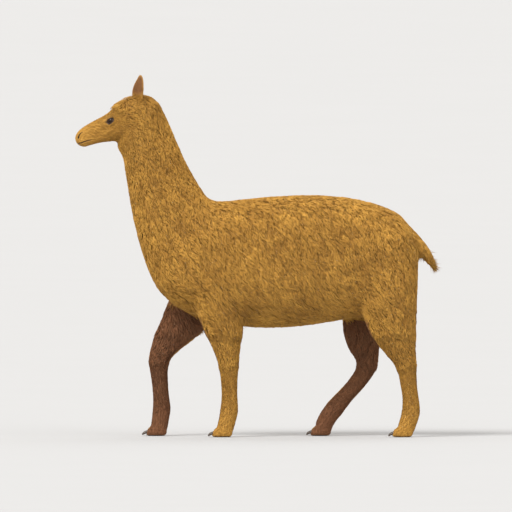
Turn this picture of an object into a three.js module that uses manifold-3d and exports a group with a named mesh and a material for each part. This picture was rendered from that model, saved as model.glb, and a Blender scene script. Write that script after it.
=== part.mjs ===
// A life-size llama, standing still in the middle of a pacing walk: both left
// feet back, both right feet forward, all four soles flat on one level.
// Millimetres. +Z is up, the animal faces -Y and its left side is +X. The
// solids reach out to the tips of the fleece.

import * as THREE from "three";
import { mergeVertices } from "three/addons/utils/BufferGeometryUtils.js";
import Module from "manifold-3d";

const wasm = await Module();
wasm.setup();

// ---------------------------------------------------------------- dimensions

const GAP = 0.4; // clearance between neighbouring pieces
const WELD = 1e-3; // vertices closer than this are one vertex

const TORSO_MESH = { around: 20, along: 34 };
const HEAD_MESH = { around: 20, along: 24 };
const LIMB_MESH = { around: 12, along: 22 };
const TAIL_MESH = { around: 10, along: 8 };
const EAR_MESH = { around: 12, along: 8 };
const NAIL_MESH = { around: 6, along: 3 };
const EYE_MESH = { around: 12, along: 8 };
const TOE_MESH = { around: 10, along: 7 };

// Rump to throat in one sweep. Each section runs from a point on the back
// line to one on the belly line, [y, z]; half is half its width, square its
// squareness (2 is an ellipse) and top how much wider it is along the back.
const TORSO = [
  { back: [790, 850], front: [786, 760], half: 58, square: 2.0, top: 0 },
  { back: [788, 925], front: [782, 655], half: 128, square: 2.1, top: 0 },
  { back: [757, 1003], front: [752, 592], half: 176, square: 2.2, top: 0 },
  { back: [701, 1079], front: [691, 574], half: 208, square: 2.2, top: -0.02 },
  { back: [604, 1124], front: [584, 578], half: 226, square: 2.2, top: -0.04 },
  { back: [468, 1159], front: [456, 568], half: 238, square: 2.2, top: -0.06 },
  { back: [293, 1174], front: [285, 541], half: 250, square: 2.2, top: -0.06 },
  { back: [119, 1170], front: [119, 525], half: 254, square: 2.2, top: -0.07 },
  { back: [-27, 1158], front: [-27, 527], half: 247, square: 2.2, top: -0.09 },
  { back: [-126, 1147], front: [-153, 546], half: 236, square: 2.2, top: -0.12 },
  { back: [-175, 1144], front: [-289, 580], half: 222, square: 2.2, top: -0.15 },
  { back: [-208, 1150], front: [-400, 638], half: 204, square: 2.2, top: -0.16 },
  { back: [-235, 1168], front: [-478, 715], half: 184, square: 2.2, top: -0.16 },
  { back: [-262, 1203], front: [-524, 808], half: 164, square: 2.2, top: -0.14 },
  { back: [-289, 1247], front: [-558, 914], half: 147, square: 2.1, top: -0.12 },
  { back: [-323, 1305], front: [-589, 1026], half: 134, square: 2.1, top: -0.1 },
  { back: [-361, 1385], front: [-611, 1147], half: 122, square: 2.1, top: -0.08 },
  { back: [-398, 1472], front: [-630, 1262], half: 113, square: 2.1, top: -0.06 },
  { back: [-433, 1552], front: [-646, 1350], half: 107, square: 2.1, top: -0.04 },
  { back: [-472, 1622], front: [-674, 1420], half: 97, square: 2.1, top: 0 },
  { back: [-505, 1652], front: [-610, 1530], half: 72, square: 2.0, top: 0 },
];

// The head's own frame: an origin near the poll, tipped so the nose points
// down. Sections stand across it at each "at" from the poll to the nose, with
// the height of the top and bottom line above the axis.
const HEAD_ORIGIN = [-566, 1551];
const HEAD_PITCH = THREE.MathUtils.degToRad(20);
const HEAD_SIZE = 1.1; // scales every length below
const HEAD = [
  { at: -104, top: 26, bottom: -20, half: 38, square: 2.0, wide: 0 },
  { at: -88, top: 58, bottom: -50, half: 64, square: 2.1, wide: 0 },
  { at: -62, top: 82, bottom: -82, half: 80, square: 2.1, wide: 0 },
  { at: -32, top: 97, bottom: -98, half: 86, square: 2.1, wide: 0 },
  { at: 0, top: 103, bottom: -99, half: 85, square: 2.1, wide: 0 },
  { at: 32, top: 103, bottom: -96, half: 80, square: 2.1, wide: 0 },
  { at: 60, top: 98, bottom: -92, half: 75, square: 2.2, wide: 0.02 },
  { at: 84, top: 87, bottom: -86, half: 71, square: 2.3, wide: 0.06 },
  { at: 101, top: 75, bottom: -80, half: 67, square: 2.3, wide: 0.12 },
  { at: 118, top: 66, bottom: -74, half: 63, square: 2.3, wide: 0.14 },
  { at: 140, top: 59, bottom: -66, half: 55, square: 2.3, wide: 0.1 },
  { at: 168, top: 54, bottom: -57, half: 46, square: 2.4, wide: 0.02 },
  { at: 200, top: 49, bottom: -50, half: 39, square: 2.4, wide: -0.05 },
  { at: 232, top: 44, bottom: -46, half: 35.5, square: 2.5, wide: -0.06 },
  { at: 256, top: 38, bottom: -44, half: 35.5, square: 2.5, wide: -0.06 },
  { at: 275, top: 30, bottom: -39, half: 33, square: 2.4, wide: -0.05 },
  { at: 289, top: 19, bottom: -31, half: 26, square: 2.3, wide: -0.03 },
  { at: 297, top: 7, bottom: -20, half: 15, square: 2.2, wide: 0 },
];
// The lips' line in the head's frame, [at, height], run on past the nose, and
// how far the cut that frees the jaw goes down and to each side.
const MOUTH = { front: [350, -15], back: [150, -31], below: -140, aside: 120 };
const NECK_CUT = { back: [-235, 1175], front: [-500, 770] };
const POLL_CUT = { back: [-470, 1632], front: [-628, 1398] };

const EYE = { at: 119, height: 25, x: 52.5, radius: 20 };

// The ears rise from beside the crown, bow outwards and turn in at the tip.
const EAR_RIM = 2.6; // half the thickness at the ear's edge
const EAR_WALL = 7; // thickness along its middle
const EAR_TURN = THREE.MathUtils.degToRad(58); // the cup faces forward and out by this
const EAR = [
  { centre: [50, -566, 1560], half: 18, cup: 17 },
  { centre: [59, -576, 1604], half: 27, cup: 24 },
  { centre: [70, -578, 1648], half: 34, cup: 27 },
  { centre: [77, -573, 1690], half: 32, cup: 25 },
  { centre: [75, -565, 1724], half: 23, cup: 18 },
  { centre: [67, -560, 1744], half: 12, cup: 9 },
  { centre: [62, -559, 1752], half: 4, cup: 4 },
];

// Limb sections from inside the trunk down to the pastern: how far the limb
// reaches behind and before its middle line, half its width, and how far that
// line stands out from the middle of the body.
const FORE_SECTIONS = [
  { behind: 60, before: 60, half: 48, out: 98 },
  { behind: 98, before: 102, half: 82, out: 118 },
  { behind: 120, before: 126, half: 96, out: 128 },
  { behind: 127, before: 131, half: 94, out: 130 },
  { behind: 117, before: 120, half: 82, out: 128 },
  { behind: 96, before: 99, half: 69, out: 126 },
  { behind: 70, before: 74, half: 56, out: 124 },
  { behind: 49, before: 53, half: 46, out: 122 },
  { behind: 41, before: 42, half: 37, out: 121 },
  { behind: 40, before: 40, half: 35, out: 120 },
  { behind: 46, before: 43, half: 40, out: 120 },
  { behind: 43, before: 42, half: 39, out: 120 },
  { behind: 44, before: 42, half: 38, out: 120 },
];
const HIND_SECTIONS = [
  { behind: 70, before: 70, half: 44, out: 92 },
  { behind: 122, before: 134, half: 90, out: 118 },
  { behind: 144, before: 150, half: 104, out: 128 },
  { behind: 139, before: 149, half: 98, out: 129 },
  { behind: 112, before: 116, half: 81, out: 127 },
  { behind: 77, before: 81, half: 61, out: 124 },
  { behind: 55, before: 49, half: 46, out: 122 },
  { behind: 42, before: 42, half: 38, out: 121 },
  { behind: 41, before: 40, half: 36, out: 120 },
  { behind: 47, before: 44, half: 41, out: 120 },
  { behind: 44, before: 43, half: 40, out: 120 },
  { behind: 45, before: 42, half: 39, out: 120 },
];

// Where each limb's middle line runs, [y, z], and the middle of its foot.
const LIMBS = [
  {
    name: "foreleg_left",
    side: 1,
    sections: FORE_SECTIONS,
    foot: -163,
    joint: 7,
    line: [
      [-178, 970], [-182, 885], [-184, 795], [-177, 695], [-164, 602], [-150, 517], [-138, 440],
      [-128, 352], [-127, 268], [-126, 195], [-129, 128], [-140, 72], [-150, 36],
    ],
  },
  {
    name: "foreleg_right",
    side: -1,
    sections: FORE_SECTIONS,
    foot: -482,
    joint: 7,
    line: [
      [-200, 970], [-208, 885], [-232, 795], [-272, 695], [-320, 605], [-374, 522], [-430, 446],
      [-468, 362], [-464, 275], [-459, 200], [-456, 132], [-463, 74], [-469, 36],
    ],
  },
  {
    name: "hindleg_left",
    side: 1,
    sections: HIND_SECTIONS,
    foot: 712,
    joint: 6,
    line: [
      [640, 960], [643, 875], [642, 775], [650, 640], [676, 515], [706, 425], [729, 348],
      [742, 262], [751, 190], [753, 127], [740, 72], [725, 36],
    ],
  },
  {
    name: "hindleg_right",
    side: -1,
    sections: HIND_SECTIONS,
    foot: 314,
    joint: 6,
    line: [
      [630, 960], [608, 875], [583, 775], [556, 640], [533, 520], [527, 428], [540, 344],
      [496, 262], [437, 196], [386, 138], [346, 82], [324, 36],
    ],
  },
];
const LINE_SQUARE = 2.1; // squareness of every limb, nail and tail section
const LEG_CUT = 512; // height at which a leg parts from the trunk
const FETLOCK = 3; // the fetlock's section, counted from the end of the limb

const TOE = { half: 23, length: 57, centre: 16, rise: 42, drop: 32, slope: 0.32, apart: 21, splay: 0.08 };
const NAIL = [
  { behind: 7, before: 8, half: 8.5, at: [-32, 25] },
  { behind: 7, before: 8, half: 8.5, at: [-46, 21] },
  { behind: 6, before: 7, half: 7.5, at: [-57, 15] },
  { behind: 4, before: 5, half: 5.5, at: [-64, 8] },
  { behind: 1.5, before: 2, half: 2.2, at: [-67.5, 3.5] },
];

const TAIL = [
  { behind: 34, before: 34, half: 36, at: [690, 1022] },
  { behind: 44, before: 44, half: 50, at: [728, 984] },
  { behind: 43, before: 43, half: 54, at: [768, 941] },
  { behind: 40, before: 39, half: 54, at: [806, 899] },
  { behind: 34, before: 32, half: 48, at: [838, 861] },
  { behind: 25, before: 23, half: 36, at: [860, 828] },
  { behind: 12, before: 11, half: 18, at: [873, 804] },
  { behind: 4, before: 4, half: 6, at: [876, 797] },
];

const COLOURS = {
  fleece: { color: 0xa57939, roughness: 0.95, metalness: 0 },
  eye: { color: 0x120c08, roughness: 0.12, metalness: 0 },
  nail: { color: 0x3a2c22, roughness: 0.5, metalness: 0 },
};

// ------------------------------------------------------------------ geometry

// A closed skin through sections. form(t) gives the section at t from 0 to 1:
// its centre, the half vector to its back, the half vector to its side, its
// squareness and how much wider it is towards its back.
function sweep(form, { around, along }, ringPoint = ellipsePoint) {
  const geometry = new THREE.CylinderGeometry(1, 1, 1, around, along);
  const place = geometry.attributes.position;
  const point = new THREE.Vector3();
  for (let i = 0; i < place.count; i += 1) {
    point.fromBufferAttribute(place, i);
    const section = form(0.5 - point.y);
    const rim = Math.min(1, Math.hypot(point.x, point.z));
    const angle = Math.atan2(point.x, point.z);
    const [back, side] = ringPoint(angle, section);
    point.copy(section.centre);
    point.addScaledVector(section.back, back * rim);
    point.addScaledVector(section.side, side * rim);
    place.setXYZ(i, point.x, point.y, point.z);
  }
  return geometry;
}

function ellipsePoint(angle, { square, top }) {
  const back = Math.sign(Math.cos(angle)) * Math.abs(Math.cos(angle)) ** (2 / square);
  const side = Math.sign(Math.sin(angle)) * Math.abs(Math.sin(angle)) ** (2 / square);
  return [back, side * (1 + top * back)];
}

// Sections given by a point on the back and one on the front, [y, z].
function spannedForm(stations, grow = 0) {
  const backs = new THREE.CatmullRomCurve3(
    stations.map(({ back, half }) => new THREE.Vector3(half + grow, back[0], back[1])));
  const fronts = new THREE.CatmullRomCurve3(
    stations.map(({ front, out = 0 }) => new THREE.Vector3(out, front[0], front[1])));
  const shapes = new THREE.CatmullRomCurve3(
    stations.map(({ square = 2, top = 0 }) => new THREE.Vector3(square, top, 0)));
  return (t) => {
    const back = backs.getPoint(t);
    const front = fronts.getPoint(t);
    const shape = shapes.getPoint(t);
    const half = new THREE.Vector3(0, back.y - front.y, back.z - front.z).multiplyScalar(0.5);
    half.setLength(half.length() + grow);
    return {
      centre: new THREE.Vector3(front.x, (back.y + front.y) / 2, (back.z + front.z) / 2),
      back: half,
      side: new THREE.Vector3(back.x, 0, 0),
      square: shape.x,
      top: shape.y,
    };
  };
}

// Sections set square to a middle line, turned into back and front points.
function lineStations(sections, line) {
  const curve = new THREE.CatmullRomCurve3(line.map(([y, z]) => new THREE.Vector3(0, y, z)));
  return sections.map(({ behind, before, half, out = 0 }, i) => {
    const t = i / (sections.length - 1);
    const centre = curve.getPoint(t);
    const along = curve.getTangent(t);
    const back = new THREE.Vector3(0, -along.z, along.y);
    const behindPoint = centre.clone().addScaledVector(back, behind);
    const beforePoint = centre.clone().addScaledVector(back, -before);
    return {
      back: [behindPoint.y, behindPoint.z],
      front: [beforePoint.y, beforePoint.z],
      half,
      out,
      square: LINE_SQUARE,
    };
  });
}

// A point of the head's frame, as [y, z].
function headPoint(at, height) {
  const [y, z] = HEAD_ORIGIN;
  const [along, above] = [at * HEAD_SIZE, height * HEAD_SIZE];
  return [
    y - along * Math.cos(HEAD_PITCH) - above * Math.sin(HEAD_PITCH),
    z - along * Math.sin(HEAD_PITCH) + above * Math.cos(HEAD_PITCH),
  ];
}

// ------------------------------------------------------- solids, joins, cuts

function toSolid(geometry) {
  const bare = geometry.clone();
  bare.deleteAttribute("normal");
  bare.deleteAttribute("uv");
  const merged = mergeVertices(bare, WELD);
  const place = merged.attributes.position;
  const index = Array.from(merged.index.array);
  if (signedVolume(place, index) < 0) {
    index.reverse();
  }
  return new wasm.Manifold(new wasm.Mesh({
    numProp: 3,
    vertProperties: new Float32Array(place.array),
    triVerts: new Uint32Array(index),
  }));
}

function signedVolume(place, index) {
  const corners = [new THREE.Vector3(), new THREE.Vector3(), new THREE.Vector3()];
  let volume = 0;
  for (let i = 0; i < index.length; i += 3) {
    corners.forEach((corner, k) => corner.fromBufferAttribute(place, index[i + k]));
    volume += corners[0].dot(corners[1].cross(corners[2])) / 6;
  }
  return volume;
}

function toGeometry(solid) {
  const { vertProperties, triVerts } = solid.getMesh();
  const geometry = new THREE.BufferGeometry();
  geometry.setAttribute("position", new THREE.BufferAttribute(vertProperties, 3));
  geometry.setIndex(new THREE.BufferAttribute(triVerts, 1));
  geometry.computeVertexNormals();
  return geometry;
}

// A plane square to the middle of the body through two points [y, z]. Its
// normal points forward where it runs from the back line to the front line.
function planeThrough(back, front) {
  const run = new THREE.Vector2(front[0] - back[0], front[1] - back[1]).normalize();
  const normal = [0, run.y, -run.x];
  return { normal, offset: normal[1] * back[0] + normal[2] * back[1] };
}

// The part of a solid on the side the plane's normal points to, clear of it.
function ahead(solid, { normal, offset }) {
  return solid.trimByPlane(normal, offset + GAP / 2);
}

// The part on the other side.
function behind(solid, { normal, offset }) {
  return solid.trimByPlane(normal.map((n) => -n), -offset + GAP / 2);
}

// ---------------------------------------------------------------- the animal

const NECK_PLANE = planeThrough(NECK_CUT.back, NECK_CUT.front);
const POLL_PLANE = planeThrough(POLL_CUT.back, POLL_CUT.front);
const LEG_PLANE = { normal: [0, 0, 1], offset: LEG_CUT };

function headStations() {
  return HEAD.map(({ at, top, bottom, half, square, wide }) => ({
    back: headPoint(at, top),
    front: headPoint(at, bottom),
    half: half * HEAD_SIZE,
    square,
    top: wide,
  }));
}

// The space below the lips and before the cheeks, from one side to the other.
function jawSpace(grow = 0) {
  const { front, back, below, aside } = MOUTH;
  const corners = [
    [back[0] - grow, back[1] + grow],
    [front[0], front[1] + grow],
    [front[0], below],
    [back[0] - grow, below],
  ].map(([at, height]) => new THREE.Vector2(...headPoint(at, height)));
  const shape = new THREE.Shape(corners);
  const geometry = new THREE.ExtrudeGeometry(shape, { depth: 2 * aside, bevelEnabled: false });
  const [x, y, z] = [[1, 0, 0], [0, 1, 0], [0, 0, 1]].map((axis) => new THREE.Vector3(...axis));
  geometry.applyMatrix4(new THREE.Matrix4().makeBasis(y, z, x));
  geometry.translate(-aside, 0, 0);
  return toSolid(geometry);
}

// A toe's pad: rounded above and lower towards the tip, flat on the ground.
function toeSolid(x, y, turn) {
  const geometry = new THREE.SphereGeometry(1, TOE_MESH.around, TOE_MESH.along);
  geometry.rotateX(Math.PI / 2);
  const place = geometry.attributes.position;
  for (let i = 0; i < place.count; i += 1) {
    const reach = place.getY(i);
    const height = place.getZ(i);
    const rise = TOE.rise * (1 + TOE.slope * reach);
    place.setXYZ(
      i,
      place.getX(i) * TOE.half,
      reach * TOE.length,
      TOE.centre + height * (height > 0 ? rise : TOE.drop),
    );
  }
  geometry.rotateZ(turn);
  geometry.translate(x, y, 0);
  return toSolid(geometry).trimByPlane([0, 0, 1], 0);
}

// A toe's nail, curved down towards its tip.
function nailSolid(x, y, turn, grow = 0) {
  const stations = lineStations(NAIL, NAIL.map(({ at }) => at));
  const geometry = sweep(spannedForm(stations, grow), NAIL_MESH);
  geometry.rotateZ(turn);
  geometry.translate(x, y, 0);
  return toSolid(geometry);
}

// One leg: the part joined to the trunk, and the leg's own three lengths.
function buildLimb({ name, side, sections, foot, joint, line }) {
  const stations = lineStations(sections, line).map((s) => ({ ...s, out: s.out * side }));
  const whole = toSolid(sweep(spannedForm(stations), LIMB_MESH));
  const [kneePlane, fetlockPlane] = [joint, stations.length - FETLOCK]
    .map((i) => planeThrough(stations[i].back, stations[i].front))
    .map((plane) => (plane.normal[2] > 0 ? plane : flip(plane)));
  const root = ahead(whole, LEG_PLANE);
  const free = behind(whole, LEG_PLANE);
  const upper = ahead(free, kneePlane);
  const shank = ahead(behind(free, kneePlane), fetlockPlane);
  const middle = stations.at(-1).out;
  const toes = [-1, 1].map((k) => ({ x: middle + k * TOE.apart, y: foot, turn: k * TOE.splay }));
  let pastern = behind(free, fetlockPlane).trimByPlane([0, 0, 1], 0);
  toes.forEach(({ x, y, turn }) => {
    pastern = pastern.add(toeSolid(x, y, turn));
  });
  toes.forEach(({ x, y, turn }) => {
    pastern = pastern.subtract(nailSolid(x, y, turn, GAP));
  });
  const inner = side > 0 ? 0 : 1;
  const pieces = [
    [`${name}_upper`, upper, "fleece"],
    [`${name}_shank`, shank, "fleece"],
    [`${name}_foot`, pastern, "fleece"],
    ...toes.map(({ x, y, turn }, i) => [
      `${name}_nail_${i === inner ? "inner" : "outer"}`, nailSolid(x, y, turn), "nail",
    ]),
  ];
  return { root, pieces };
}

function flip({ normal, offset }) {
  return { normal: normal.map((n) => -n), offset: -offset };
}

// An ear: a thin cup, convex behind and hollow before.
function earSolid(side) {
  const curve = new THREE.CatmullRomCurve3(EAR.map(({ centre }) => new THREE.Vector3(...centre)));
  const sizes = new THREE.CatmullRomCurve3(EAR.map(({ half, cup }) => new THREE.Vector3(half, cup, 0)));
  const form = (t) => {
    const size = sizes.getPoint(t);
    const along = curve.getTangent(t);
    const out = new THREE.Vector3(1, 0, 0).applyAxisAngle(new THREE.Vector3(0, 0, 1), EAR_TURN);
    const back = out.clone().cross(along).negate().normalize();
    const across = along.clone().cross(back).normalize();
    return { centre: curve.getPoint(t), back, side: across, half: size.x, cup: size.y };
  };
  const ring = (angle, { half, cup }) => {
    const bow = Math.abs(Math.cos(angle));
    const convex = Math.cos(angle) > 0;
    const depth = convex ? cup * bow + EAR_RIM : (cup - EAR_WALL) * bow - EAR_RIM;
    return [depth, Math.sin(angle) * half];
  };
  const geometry = sweep(form, EAR_MESH, ring);
  if (side < 0) {
    geometry.scale(-1, 1, 1);
  }
  return toSolid(geometry);
}

function eyeSolid(side, grow = 0) {
  const geometry = new THREE.SphereGeometry(EYE.radius + grow, EYE_MESH.around, EYE_MESH.along);
  const [y, z] = headPoint(EYE.at, EYE.height);
  geometry.rotateZ(Math.PI / 2);
  geometry.translate(side * EYE.x, y, z);
  return toSolid(geometry);
}

function tailSolid() {
  return toSolid(sweep(spannedForm(lineStations(TAIL, TAIL.map(({ at }) => at))), TAIL_MESH));
}

function buildAnimal() {
  const torso = toSolid(sweep(spannedForm(TORSO), TORSO_MESH));
  const rumpRoom = toSolid(sweep(spannedForm(TORSO, GAP), TORSO_MESH).translate(0, GAP, 0));
  const limbs = LIMBS.map(buildLimb);

  let trunk = behind(torso, NECK_PLANE);
  limbs.forEach(({ root }) => {
    trunk = trunk.add(root);
  });
  const tail = tailSolid().subtract(rumpRoom);

  const skull = toSolid(sweep(spannedForm(headStations()), HEAD_MESH));
  const skullRoom = toSolid(sweep(spannedForm(headStations(), GAP), HEAD_MESH));
  const neckAndHead = ahead(torso, NECK_PLANE).add(skull);
  const neck = behind(neckAndHead, POLL_PLANE);
  let head = ahead(neckAndHead, POLL_PLANE);
  const jaw = head.intersect(jawSpace());
  head = head.subtract(jawSpace(GAP));

  const sides = [["left", 1], ["right", -1]];
  sides.forEach(([, side]) => {
    head = head.subtract(eyeSolid(side, GAP));
  });
  return [
    ["head", head, "fleece"],
    ["jaw", jaw, "fleece"],
    ...sides.map(([word, side]) => [`ear_${word}`, earSolid(side).subtract(skullRoom), "fleece"]),
    ...sides.map(([word, side]) => [`eye_${word}`, eyeSolid(side), "eye"]),
    ["neck", neck, "fleece"],
    ["trunk", trunk, "fleece"],
    ["tail", tail, "fleece"],
    ...limbs.flatMap(({ pieces }) => pieces),
  ];
}

const llama = new THREE.Group();
buildAnimal().forEach(([name, solid, colour]) => {
  const mesh = new THREE.Mesh(toGeometry(solid), new THREE.MeshStandardMaterial(COLOURS[colour]));
  mesh.name = name;
  llama.add(mesh);
});

// The origin is on the ground below the middle of the animal's box.
const box = new THREE.Box3().setFromObject(llama);
llama.position.set(-(box.min.x + box.max.x) / 2, -(box.min.y + box.max.y) / 2, -box.min.z);

export default llama;
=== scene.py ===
"""A life-size llama standing still in a pacing stance: skin, eyes, nails, lashes and fleece.

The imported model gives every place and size. Lengths are metres. The animal faces -Y,
its left side is +X and +Z is up.
"""

import logging
import math
from collections.abc import Iterable, Sequence
from dataclasses import dataclass, field
from enum import Enum
from functools import cache, cached_property

import bmesh
import bpy
import numpy as np
from mathutils import Matrix, Vector
from mathutils.bvhtree import BVHTree
from mathutils.kdtree import KDTree


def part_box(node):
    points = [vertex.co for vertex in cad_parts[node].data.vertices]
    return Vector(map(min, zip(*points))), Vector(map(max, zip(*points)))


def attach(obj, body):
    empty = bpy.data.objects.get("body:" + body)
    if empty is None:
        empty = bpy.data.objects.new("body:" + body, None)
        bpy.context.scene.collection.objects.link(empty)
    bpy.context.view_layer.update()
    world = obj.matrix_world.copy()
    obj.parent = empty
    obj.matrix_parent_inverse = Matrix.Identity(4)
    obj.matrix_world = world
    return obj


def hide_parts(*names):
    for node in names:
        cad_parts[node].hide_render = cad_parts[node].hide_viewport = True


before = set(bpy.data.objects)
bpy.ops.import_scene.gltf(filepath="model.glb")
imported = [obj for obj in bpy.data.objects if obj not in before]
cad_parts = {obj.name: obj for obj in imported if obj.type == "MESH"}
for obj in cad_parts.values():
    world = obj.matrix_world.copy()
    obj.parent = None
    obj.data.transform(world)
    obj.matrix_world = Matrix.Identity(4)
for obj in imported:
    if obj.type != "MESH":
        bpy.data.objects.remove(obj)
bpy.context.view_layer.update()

log = logging.getLogger("llama")

MM = 0.001
BODY = "root"
SIDES = {"left": 1.0, "right": -1.0}
LIMBS = ("foreleg_left", "foreleg_right", "hindleg_left", "hindleg_right")
FLESH = (
    "head", "jaw", "ear_left", "ear_right", "neck", "trunk", "tail",
    *(f"{limb}_{part}" for limb in LIMBS for part in ("upper", "shank", "foot")),
)


# ------------------------------------------------------------------ arithmetic


def unit(vectors: np.ndarray) -> np.ndarray:
    """Scales each vector to a length of one.

    Args:
        vectors: The vectors, with their parts along the last axis.

    Returns:
        The unit vectors.
    """
    return vectors / np.maximum(np.linalg.norm(vectors, axis=-1, keepdims=True), 1e-12)


def ramp(values: np.ndarray, low: float, high: float) -> np.ndarray:
    """Rises smoothly from 0 at low to 1 at high, or falls where high is the lower one."""
    share = np.clip((values - low) / (high - low), 0.0, 1.0)
    return share * share * (3.0 - 2.0 * share)


def bell(values: np.ndarray, middle: float, width: float) -> np.ndarray:
    """A bell curve of height one about the middle."""
    return np.exp(-(((values - middle) / width) ** 2))


def dots(first: np.ndarray, second: np.ndarray) -> np.ndarray:
    """The dot product of each pair of vectors, kept as a column."""
    return np.sum(first * second, axis=-1, keepdims=True)


def flatten_to(directions: np.ndarray, normals: np.ndarray) -> np.ndarray:
    """Lays each direction in the plane square to its normal, at a length of one."""
    return unit(directions - normals * dots(directions, normals))


def path_distance(points: np.ndarray, path: np.ndarray, widths: Sequence[float]) -> np.ndarray:
    """Measures how far each point is from the edge of a band along a line of straight runs.

    Args:
        points: The points, one a row.
        path: The corners of the line, one a row.
        widths: Half the band's width at each corner.

    Returns:
        The distance of each point, below zero inside the band.
    """
    nearest = np.full(len(points), np.inf)
    for start, end, first, last in zip(path[:-1], path[1:], widths[:-1], widths[1:]):
        run = end - start
        share = np.clip((points - start) @ run / (run @ run), 0.0, 1.0)
        gap = np.linalg.norm(points - start - share[:, None] * run, axis=1)
        nearest = np.minimum(nearest, gap - first - (last - first) * share)
    return nearest


WAVES = 7
WAVE_STRETCH = (0.6, 1.7)  # the shortest and the longest wave, as shares of the size asked for
WAVE_PEAK = 1.6  # brings the usual peaks of the sum to about one


def soft_noise(points: np.ndarray, size: float, seed: float) -> np.ndarray:
    """A smooth, even wander between about -1 and 1, made of a few crossing waves.

    Args:
        points: Where it is wanted, one point a row.
        size: The length of its main waves.
        seed: Sets one pattern apart from another.

    Returns:
        One value for each point.
    """
    rng = np.random.default_rng(int(seed * 1000) + 17)
    total = np.zeros(len(points))
    for _ in range(WAVES):
        direction = unit(rng.normal(size=3))
        stretch = rng.uniform(*WAVE_STRETCH)
        phase = rng.uniform(0, 2 * math.pi)
        total += np.sin(points @ direction * (2 * math.pi / (size * stretch)) + phase)
    return total / math.sqrt(WAVES / 2) / WAVE_PEAK


def box_middle(node: str) -> np.ndarray:
    """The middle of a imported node's box."""
    low, high = (np.array(corner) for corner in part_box(node))
    return (low + high) / 2


def point_tree(points: np.ndarray) -> KDTree:
    """Makes a tree that finds the point nearest to a place.

    Args:
        points: The points, one a row.

    Returns:
        The tree, which knows each point by its row.
    """
    tree = KDTree(len(points))
    for number, point in enumerate(points):
        tree.insert(point, number)
    tree.balance()
    return tree


def node_tree(node: str) -> BVHTree:
    """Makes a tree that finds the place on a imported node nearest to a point.

    Args:
        node: The node's name.

    Returns:
        The tree.
    """
    shape = bmesh.new()
    shape.from_mesh(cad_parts[node].data)
    tree = BVHTree.FromBMesh(shape)
    shape.free()
    return tree


# --------------------------------------------------------------- mesh helpers


def mesh_points(mesh: bpy.types.Mesh) -> np.ndarray:
    """The places of a mesh's vertices, one a row."""
    flat = np.empty(len(mesh.vertices) * 3, np.float32)
    mesh.vertices.foreach_get("co", flat)
    return flat.reshape(-1, 3).astype(float)


def mesh_normals(mesh: bpy.types.Mesh) -> np.ndarray:
    """The normals of a mesh's vertices, one a row."""
    flat = np.empty(len(mesh.vertices) * 3, np.float32)
    mesh.vertex_normals.foreach_get("vector", flat)
    return flat.reshape(-1, 3).astype(float)


def mesh_triangles(mesh: bpy.types.Mesh) -> np.ndarray:
    """The three vertices of each triangle of a mesh, one a row."""
    mesh.calc_loop_triangles()
    flat = np.empty(len(mesh.loop_triangles) * 3, np.int32)
    mesh.loop_triangles.foreach_get("vertices", flat)
    return flat.reshape(-1, 3)


def move_points(mesh: bpy.types.Mesh, points: np.ndarray) -> None:
    """Puts a mesh's vertices where the rows say."""
    mesh.vertices.foreach_set("co", points.astype(np.float32).ravel())
    mesh.update()


def set_values(mesh: bpy.types.Mesh, name: str, values: np.ndarray) -> None:
    """Stores one number for each vertex of a mesh under a name."""
    layer = mesh.attributes.get(name) or mesh.attributes.new(name, "FLOAT", "POINT")
    layer.data.foreach_set("value", values.astype(np.float32))


def new_object(name: str, data: bpy.types.ID) -> bpy.types.Object:
    """Adds an object to the scene, at its origin.

    Args:
        name: The object's name.
        data: Its mesh, light or lens.

    Returns:
        The object.
    """
    piece = bpy.data.objects.new(name, data)
    bpy.context.scene.collection.objects.link(piece)
    return piece


def object_of(name: str, shape: bmesh.types.BMesh) -> bpy.types.Object:
    """Makes a smooth object of a bmesh, and frees the bmesh.

    Args:
        name: The object's name.
        shape: The bmesh.

    Returns:
        The object.
    """
    mesh = bpy.data.meshes.new(name)
    shape.to_mesh(mesh)
    shape.free()
    mesh.shade_smooth()
    return new_object(name, mesh)


def settled(piece: bpy.types.Object) -> bpy.types.Mesh:
    """Applies an object's modifiers.

    Args:
        piece: The object, whose modifiers are then gone.

    Returns:
        Its new mesh.
    """
    view = bpy.context.evaluated_depsgraph_get()
    finished = bpy.data.meshes.new_from_object(piece.evaluated_get(view))
    piece.modifiers.clear()
    piece.data = finished
    return finished


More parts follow.
